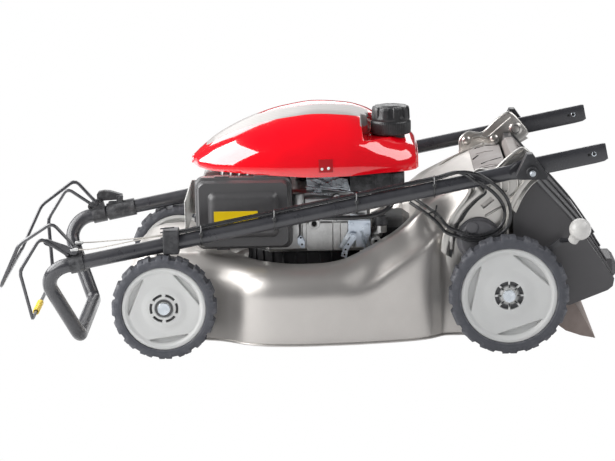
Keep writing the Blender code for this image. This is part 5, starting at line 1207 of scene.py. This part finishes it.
springs = [
    spring_mesh((0.3369, -0.118, 0.1905), (0.3421, -0.118, 0.16), 16, 0.0024, 0.0005),
    spring_mesh((0.3455, -0.118, 0.1859), (0.3494, -0.118, 0.1623), 12, 0.0021, 0.0005),
    spring_mesh((0.248, -0.118, 0.26), (0.286, -0.118, 0.256), 18, 0.002, 0.00045),
]
add_piece("governor_springs", springs, ZINC, "deck", weighted=False)
hose = [
    (0.26, -0.16, 0.229), (0.2719, -0.175, 0.2281), (0.2918, -0.176, 0.2277), (0.3173, -0.176, 0.2272),
    (0.3456, -0.175, 0.2281), (0.3655, -0.174, 0.2321), (0.3798, -0.17, 0.239), (0.3889, -0.16, 0.2461),
    (0.393, -0.135, 0.252),
]
hose_mesh = bar_mesh(smooth_line(hose, 6), 0.004, 16)
add_piece("fuel_hose", hose_mesh, CABLE_SHEATH, "deck", weighted=False)
housing = [box_mesh((0.3185, -0.12, 0.261), (0.4115, -0.085, 0.293), 0.0025)]
housing += [box_mesh((x - 0.001, -0.1225, 0.2625), (x + 0.001, -0.118, 0.291), 0.0005, 1) for x in (0.363, 0.39)]
housing.append(box_mesh((0.33, -0.121, 0.2745), (0.356, -0.119, 0.2875), 0.0008, 1))
add_piece("starter_housing_side", housing, BLACK_PLASTIC, "deck")

# Air filter
# A pleated paper element between a base and a cover that tilts off on its lower hooks.

FILTER_PLASTIC = make_finish(
    "filter_plastic", (0.058, 0.056, 0.057), (0.072, 0.07, 0.071), 0.36, drift=(18.0, 0.5), rough_span=0.05,
    grain=(900.0, 0.5, 0.00007), wear=((0.17, 0.17, 0.17), 0.3, 70.0))
FILTER_PAPER = make_finish(
    "filter_paper", (0.56, 0.5, 0.38), (0.48, 0.42, 0.31), 0.85, drift=(80.0, 0.5), grain=(300.0, 0.5, 0.0002))
dress("filter_base", BLACK_PLASTIC, 0.001)
dress("filter_element", FILTER_PAPER, 0.001, 1)


def rounded_loop(x0, x1, z0, z1, radius):
    """A rounded rectangle in X and Z, anticlockwise."""
    result = []
    for x, z, first in ((x1, z0, -90), (x1, z1, 0), (x0, z1, 90), (x0, z0, 180)):
        centre_x = x - radius if x == x1 else x + radius
        centre_z = z - radius if z == z1 else z + radius
        for k in range(9):
            turn = math.radians(first + 90 * k / 8)
            result.append((centre_x + radius * math.cos(turn), centre_z + radius * math.sin(turn)))
    return result


def filter_ring(inset, y, radius):
    loop = rounded_loop(0.0525 + inset, 0.2185 - inset, 0.17 + inset, 0.2945 - inset, radius)
    return [(x, y, z) for x, z in loop]


pillow = [
    (0.0075, -0.16, 0.012), (0.004, -0.15, 0.012), (0.004, -0.1262, 0.012), (0.0006, -0.1258, 0.014),
    (0.0, -0.1266, 0.014), (0.0, -0.142, 0.014), (0.0006, -0.144, 0.014), (0.002, -0.1458, 0.014),
    (0.0045, -0.1474, 0.013), (0.009, -0.1496, 0.013), (0.015, -0.1532, 0.012), (0.0205, -0.1578, 0.011),
    (0.0235, -0.1612, 0.011), (0.0255, -0.164, 0.01), (0.0272, -0.1662, 0.01), (0.0295, -0.168, 0.009),
    (0.0325, -0.1692, 0.008), (0.037, -0.1698, 0.008),
]
lid = [ring_stack("lid", [filter_ring(*row) for row in pillow])]
for low, high in (
        ((0.0862, -0.143, 0.2915), (0.1117, -0.129, 0.2965)), ((0.1541, -0.143, 0.2915), (0.1796, -0.129, 0.2965)),
        ((0.0873, -0.142, 0.1675), (0.1102, -0.13, 0.1715)), ((0.0505, -0.143, 0.217), (0.0535, -0.13, 0.229))):
    lid.append(box_mesh(low, high, 0.0012))
add_piece("filter_cover_made", lid, FILTER_PLASTIC, "filter_lid", ("filter_cover",), sharp=50)
YELLOW_LABEL = make_finish(
    "blank_yellow_label", (0.86, 0.6, 0.006), (0.78, 0.52, 0.004), 0.32, drift=(60.0, 0.4), grain=(900.0, 0.3, 0.00002))
label = box_mesh((0.0855, -0.1703, 0.2205), (0.1602, -0.1694, 0.2405), 0.0003, 1)
add_piece("filter_blank_label", label, YELLOW_LABEL, "filter_lid")

# Engine cover
# A glossy red moulding with a silver grey band along each shoulder, scalloped for the filler cap.

COVER_SECTIONS = [
    (0.042, 0.018, 0.299, 0.311), (0.056, 0.058, 0.298, 0.322), (0.085, 0.096, 0.298, 0.345),
    (0.128, 0.122, 0.2975, 0.3686), (0.165, 0.135, 0.2965, 0.3833), (0.205, 0.143, 0.2945, 0.3943),
    (0.26, 0.146, 0.292, 0.4018), (0.313, 0.143, 0.2925, 0.398), (0.347, 0.137, 0.2938, 0.3885),
    (0.375, 0.13, 0.2948, 0.3715), (0.402, 0.122, 0.295, 0.356), (0.421, 0.112, 0.295, 0.347),
    (0.432, 0.1, 0.2955, 0.337), (0.437, 0.088, 0.296, 0.324),
]
CAP_CENTRE = (0.391, -0.05)
CAP_RADIUS = 0.035
COVER_WALL = 0.003
COVER_SPACING = 0.003
CAP_SHELF_Z = 0.349
SHELF_START = 0.3405
SHOULDER = 0.62
CROWN_DROP = 0.011
CROWN_WIDTH = 0.32
BAND_TOP = [(0.066, 91), (0.14, 91), (0.165, 89.5), (0.205, 88), (0.245, 87), (0.3, 88), (0.341, 89)]
BAND_FOOT = [
    (0.066, 84), (0.075, 78), (0.085, 77), (0.12, 76.5), (0.145, 74.5), (0.18, 73.5), (0.2175, 72), (0.245, 71.5),
    (0.295, 72), (0.32, 72.5), (0.341, 75),
]
HALF_WIDTHS, COVER_LOWS, COVER_TOPS = ([(row[0], row[k]) for row in COVER_SECTIONS] for k in (1, 2, 3))


def section_point(out, sine, low, width, height):
    """Across and up on the cover's section: square shoulders under a rounded crown."""
    lift = sine ** 0.8 if sine > 0 else 0.0
    crown = CROWN_DROP * min(1.0, height / 0.09) * out * out / (out * out + CROWN_WIDTH ** 2)
    return -width * out, low + (height - crown) * lift


def cover_block(wall):
    """The cover's outer form, or its hollow when a wall is given; the shelf for the cap is pressed in."""
    first, last = COVER_SECTIONS[0][0], COVER_SECTIONS[-1][0]
    count = int((last - first) / COVER_SPACING)
    stations = {first + (last - first) * (0.5 - 0.5 * math.cos(math.pi * k / count)) for k in range(count + 1)}
    stations |= {SHELF_START + 0.0006 * k for k in range(-8, 9)}
    steps = 60 if wall else 180
    columns = []
    for x in sorted(stations):
        low = smooth_table(COVER_LOWS, x)
        height = max(smooth_table(COVER_TOPS, x) - low - wall, 0.001)
        width = smooth_table(HALF_WIDTHS, x) - wall
        place = first + wall + (x - first) * (last - first - 2 * wall) / (last - first)
        ring = [(place, -width, low - 0.012)] if wall else []
        for k in range(steps + 1):
            turn = math.pi * k / steps
            out = math.copysign(abs(math.cos(turn)) ** SHOULDER, math.cos(turn))
            y, z = section_point(out, math.sin(turn) if 0 < k < steps else 0.0, low, width, height)
            start = SHELF_START + 0.0035 * max(0.0, (0.3835 - z) / 0.034) - wall
            pressed = ease(start - 0.0022, start + 0.0022, x) * (1 - ease(-0.052, -0.047, y))
            reach = math.hypot(x - CAP_CENTRE[0], y - CAP_CENTRE[1]) + wall
            pressed = max(pressed, 1 - ease(CAP_RADIUS + 0.003, CAP_RADIUS + 0.0065, reach))
            shelf = CAP_SHELF_Z - wall
            if z > shelf:
                z += (shelf - z) * pressed
            ring.append((place, y, z))
        if wall:
            ring.append((place, width, low - 0.012))
        columns.append(ring)
    return strip_mesh("cover", columns)


def cover_mesh():
    outer, inner = cover_block(0.0), cover_block(COVER_WALL)
    mesh = cut(outer, inner, turned_mesh(plug(0.0243, 0.28, 0.45), 48, Matrix.Translation((*CAP_CENTRE, 0))))
    band = mesh.attributes.new("band", "FLOAT", "POINT")
    for i, vert in enumerate(mesh.vertices):
        px, py, pz = vert.co
        width = smooth_table(HALF_WIDTHS, px)
        share = min(1.0, abs(py) / max(width, 0.001))
        turn = math.degrees(math.acos(share ** (1 / SHOULDER)))
        inside = min(smooth_table(BAND_TOP, px) - turn, turn - smooth_table(BAND_FOOT, px)) * 0.0024
        inside = min(inside, px - 0.068)
        if px > SHELF_START - 0.003 and py < -0.047:
            inside = min(0.002, pz - 0.366, py + 0.096)
        elif px > 0.352:
            inside = -0.002
        band.data[i].value = max(-0.004, min(0.004, inside))
    return mesh


def paint_cover():
    mat = make_finish(
        "red_gloss_plastic", (0.87, 0.0, 0.008), (0.8, 0.0, 0.01), 0.16, drift=(10.0, 0.4), rough_span=0.02,
        grain=(300.0, 0.1, 0.00001), coat=1.0, coat_roughness=0.02, specular=0.15)
    tree = mat.node_tree
    shader = tree.nodes["Principled BSDF"]
    shader.inputs["Coat IOR"].default_value = 2.0
    field = node(tree, "Attribute", {"attribute_name": "band", "attribute_type": "GEOMETRY"})
    mask = node(tree, "MapRange", {}, From_Min=-0.00035, From_Max=0.00035)
    place = node(tree, "TexCoord")
    dots = node(tree, "TexVoronoi", {}, Scale=420.0, Randomness=0.0)
    dotted = node(tree, "MapRange", {}, From_Min=0.2, From_Max=0.7)
    grey = node(tree, "Mix", {"data_type": "RGBA"})
    grey.inputs[6].default_value = (0.36, 0.33, 0.315, 1)
    grey.inputs[7].default_value = (0.3, 0.29, 0.275, 1)
    paint = node(tree, "Mix", {"data_type": "RGBA"})
    rough = node(tree, "Mix", {"data_type": "FLOAT"})
    rough.inputs[3].default_value = 0.34
    gloss = node(tree, "MapRange", {}, To_Min=1.0, To_Max=0.15)
    step = node(tree, "Bump", {}, Strength=0.8, Distance=0.0006)
    wide = node(tree, "MapRange", {}, From_Min=-0.0009, From_Max=0.0003)
    for socket, entry in (
            ("Base Color", paint.inputs[6]), ("Roughness", rough.inputs[2]), ("Normal", step.inputs["Normal"])):
        tree.links.new(shader.inputs[socket].links[0].from_socket, entry)
    wire(tree, (field, "Fac", mask, "Value"), (place, "Object", dots, "Vector"), (dots, "Distance", dotted, "Value"),
         (dotted, "Result", grey, 0), (mask, "Result", paint, 0), (grey, 2, paint, 7), (paint, 2, shader, "Base Color"),
         (mask, "Result", rough, 0), (rough, 0, shader, "Roughness"), (mask, "Result", gloss, "Value"),
         (gloss, "Result", shader, "Coat Weight"), (field, "Fac", wide, "Value"), (wide, "Result", step, "Height"),
         (step, "Normal", shader, "Normal"))
    return mat


RED_PLASTIC = paint_cover()
add_piece("engine_cover_made", cover_mesh(), RED_PLASTIC, "deck", ("engine_cover",), sharp=50)


def on_cover(x, z, lift):
    """The place on the cover's near side at this height, moved outward."""
    low, width = smooth_table(COVER_LOWS, x), smooth_table(HALF_WIDTHS, x)
    height = smooth_table(COVER_TOPS, x) - low
    turns = [math.radians(a / 4) for a in range(1, 360)]
    points = [section_point(math.cos(a) ** SHOULDER, math.sin(a), low, width, height) for a in turns]
    y = min(points, key=lambda point: abs(point[1] - z))[0]
    return Vector((x, y - lift, z))


PATCH_RED = make_finish(
    "choke_mark_red", (0.42, 0.0, 0.004), (0.36, 0.0, 0.004), 0.35, drift=(60.0, 0.4), grain=(700.0, 0.4, 0.00002))
PATCH_X = (0.2655, 0.2895)
PATCH_Z = (0.3005, 0.3225)
patch = []
for k in range(9):
    x = PATCH_X[0] + (PATCH_X[1] - PATCH_X[0]) * k / 8
    heights = [PATCH_Z[0] + (PATCH_Z[1] - PATCH_Z[0]) * m / 8 for m in range(9)]
    patch.append([on_cover(x, z, 0.0007) for z in heights] + [on_cover(x, z, -0.001) for z in reversed(heights)])
mark = rounded(strip_mesh("patch", patch), 0.0003)
add_piece("choke_mark", mark, PATCH_RED, "deck")
PATCH_WHITE = make_finish(
    "choke_mark_white", (0.8, 0.8, 0.78), (0.74, 0.74, 0.72), 0.4, drift=(80.0, 0.3), grain=(700.0, 0.3, 0.00002))
dots = []
for x, z, size in ((0.2712, 0.3062, 0.0024), (0.2822, 0.3072, 0.0026)):
    profile = [(0.0, 0.0), (size, 0.0), (size, 0.0003), (size * 0.8, 0.0007), (size * 0.3, 0.0007), (0.0, 0.0004)]
    dots.append(turned_mesh(profile, 20, facing(on_cover(x, z, 0.0006), (0, -1, 0.08))))
add_piece("choke_mark_dots", dots, PATCH_WHITE, "deck")

# Fuel tank, caps and brackets
# A blow moulded tank under the cover, a ribbed filler cap, and pressed zinc brackets and levers.

for part in ("fuel_tank", "oil_cap", "starter_pulley"):
    dress(part, BLACK_PLASTIC, 0.001)
CAP_PLASTIC = make_finish(
    "cap_plastic", (0.016, 0.016, 0.017), (0.03, 0.03, 0.031), 0.36, drift=(50.0, 0.5), rough_span=0.08,
    grain=(800.0, 0.5, 0.00008), wear=((0.14, 0.14, 0.14), 0.5, 120.0))
cap_rows = [
    (0.0, 0.3505, 0.0), (0.032, 0.3505, 0.0), (0.0338, 0.3512, 0.0004), (0.0345, 0.353, 0.0006), (0.0348, 0.36, 0.0006),
    (0.0349, 0.37, 0.0006), (0.0345, 0.3718, 0.0003), (0.0335, 0.3726, 0.0), (0.0326, 0.3736, 0.0),
    (0.0326, 0.3752, 0.0), (0.0331, 0.3762, 0.0), (0.0333, 0.3785, 0.0), (0.0331, 0.3805, 0.0008),
    (0.0329, 0.385, 0.0022), (0.0326, 0.392, 0.0026), (0.0318, 0.3962, 0.0026), (0.0302, 0.398, 0.0022),
    (0.027, 0.3986, 0.001), (0.0225, 0.3978, 0.0), (0.0205, 0.3982, 0.0), (0.018, 0.3998, 0.0), (0.006, 0.4004, 0.0),
    (0.0, 0.4004, 0.0),
]
cap_columns = []
for k in range(240):
    turn = math.tau * k / 240
    lobe = 1 - ease(0.16, 0.3, abs((k / 24) % 1.0 - 0.5))
    knurl = 0.5 + 0.5 * math.cos(turn * 60)
    sizes = [(r - deep * (lobe if deep > 0.0007 else knurl), z) for r, z, deep in cap_rows]
    cap_columns.append(spun(sizes, turn))
cap = sheet_mesh("cap", cap_columns)
cap.transform(Matrix.Translation((*CAP_CENTRE, 0)))
add_piece("fuel_cap_made", cap, CAP_PLASTIC, "filler_cap", ("fuel_cap",), sharp=50)
for part in (
        "governor_bracket", "governor_arm", "brake_bracket", "engine_pulley", "gearbox_pulley", "blade_holder",
        "blade_bolt"):
    dress(part, ZINC, 0.0004, 1)
dress("drive_belt", TYRE_RUBBER, 0.0004, 1)

# Studio
# A pale floor, a white surround, three soft lamps and the camera at the photograph's viewpoint.

FOCAL_PIXELS, PHOTO_WIDTH, SENSOR_WIDTH = 2630, 615, 36
CAMERA_PITCH_YAW_ROLL = (11.79, -1.0, -1.27)
CAMERA_PLACE = (0.321 + AXLE_X, -4.558, 1.121)


def build_floor():
    mat = bpy.data.materials.new("studio_floor")
    mat.use_nodes = True
    tree = mat.node_tree
    shader = tree.nodes["Principled BSDF"]
    shader.inputs["Base Color"].default_value = (0.86, 0.86, 0.86, 1)
    shader.inputs["Roughness"].default_value = 0.6
    glow = node(tree, "Emission", {}, Strength=1.0)
    rays = node(tree, "LightPath")
    seen = node(tree, "Math", {"operation": "MAXIMUM"})
    share = node(tree, "Math", {"operation": "MULTIPLY"})
    place = node(tree, "TexCoord")
    axes = node(tree, "SeparateXYZ")
    # Painted light: in reflections the floor glows, from 0.12 in front of the mower to 0.44 behind it, a painted lit
    # strip; to the camera it is plain white.
    reflected_glow = node(tree, "MapRange", {}, From_Min=-1.3, From_Max=-0.3, To_Min=0.12, To_Max=0.44)
    blend = node(tree, "MixShader")
    wire(tree, (place, "Object", axes, "Vector"), (axes, "X", reflected_glow, "Value"), (rays, "Is Glossy Ray", share, 0),
         (reflected_glow, "Result", share, 1), (rays, "Is Camera Ray", seen, 0), (share, 0, seen, 1), (seen, 0, blend, 0),
         (shader, 0, blend, 1), (glow, 0, blend, 2), (blend, 0, tree.nodes["Material Output"], "Surface"))
    floor = sheet_mesh("floor", [[(x * 1.5, y * 1.5, 0.0) for y in range(-8, 9)] for x in range(-8, 9)], around=False)
    floor.materials.append(mat)
    link_object("studio_floor", floor)


def build_world():
    world = bpy.data.worlds.new("studio")
    bpy.context.scene.world = world
    world.use_nodes = True
    tree = world.node_tree
    soft = tree.nodes["Background"]
    soft.inputs["Color"].default_value = (0.9, 0.93, 1.0, 1)
    white = node(tree, "Background")
    white.inputs["Color"].default_value = (1, 1, 1, 1)
    white.inputs["Strength"].default_value = 1.0
    rays = node(tree, "LightPath")
    seen = node(tree, "Math", {"operation": "MAXIMUM"})
    blend = node(tree, "MixShader")
    dim = node(tree, "MapRange", {}, To_Min=0.45, To_Max=0.07)
    wire(tree, (rays, "Is Glossy Ray", dim, "Value"), (dim, "Result", soft, "Strength"),
         (rays, "Is Camera Ray", seen, 0), (rays, "Is Transmission Ray", seen, 1), (seen, 0, blend, 0),
         (soft, 0, blend, 1), (white, 0, blend, 2), (blend, 0, tree.nodes["World Output"], "Surface"))


def soft_lamp(name, place, target, size, power):
    lamp = bpy.data.lights.new(name, "AREA")
    lamp.shape = "RECTANGLE"
    lamp.size, lamp.size_y = size
    lamp.energy = power
    obj = link_object(name, lamp)
    turn = (Vector(target) - Vector(place)).to_track_quat("-Z", "Y").to_matrix().to_4x4()
    obj.matrix_world = Matrix.Translation(place) @ turn


def build_camera():
    pitch, yaw, roll = (math.radians(a) for a in CAMERA_PITCH_YAW_ROLL)
    ahead = Vector((math.sin(yaw) * math.cos(pitch), math.cos(yaw) * math.cos(pitch), -math.sin(pitch)))
    level = Vector((math.cos(yaw), -math.sin(yaw), 0))
    over = level.cross(ahead)
    right = math.cos(roll) * level + math.sin(roll) * over
    up = math.cos(roll) * over - math.sin(roll) * level
    camera = bpy.data.cameras.new("camera")
    camera.sensor_width = SENSOR_WIDTH
    camera.lens = FOCAL_PIXELS * SENSOR_WIDTH / PHOTO_WIDTH
    camera.clip_end = 60
    obj = link_object("camera", camera)
    place = Matrix((right, up, -ahead)).transposed().to_4x4()
    place.translation = Vector(CAMERA_PLACE)
    obj.matrix_world = place
    bpy.context.scene.camera = obj


build_floor()
build_world()
soft_lamp("front_softbox", (AXLE_X - 1.55, -0.02, 1.26), (AXLE_X + 0.14, -0.1, 0.34), (3.1, 1.72), 120)
soft_lamp("back_softbox", (AXLE_X + 0.35, 2.2, 1.25), (AXLE_X + 0.35, 0, 0.25), (2.4, 0.9), 19)
soft_lamp("rear_softbox", (AXLE_X + 2.0, -0.35, 1.75), (AXLE_X + 0.4, 0, 0.25), (2.4, 1.1), 28)
build_camera()
bpy.context.scene.view_settings.view_transform = "Standard"
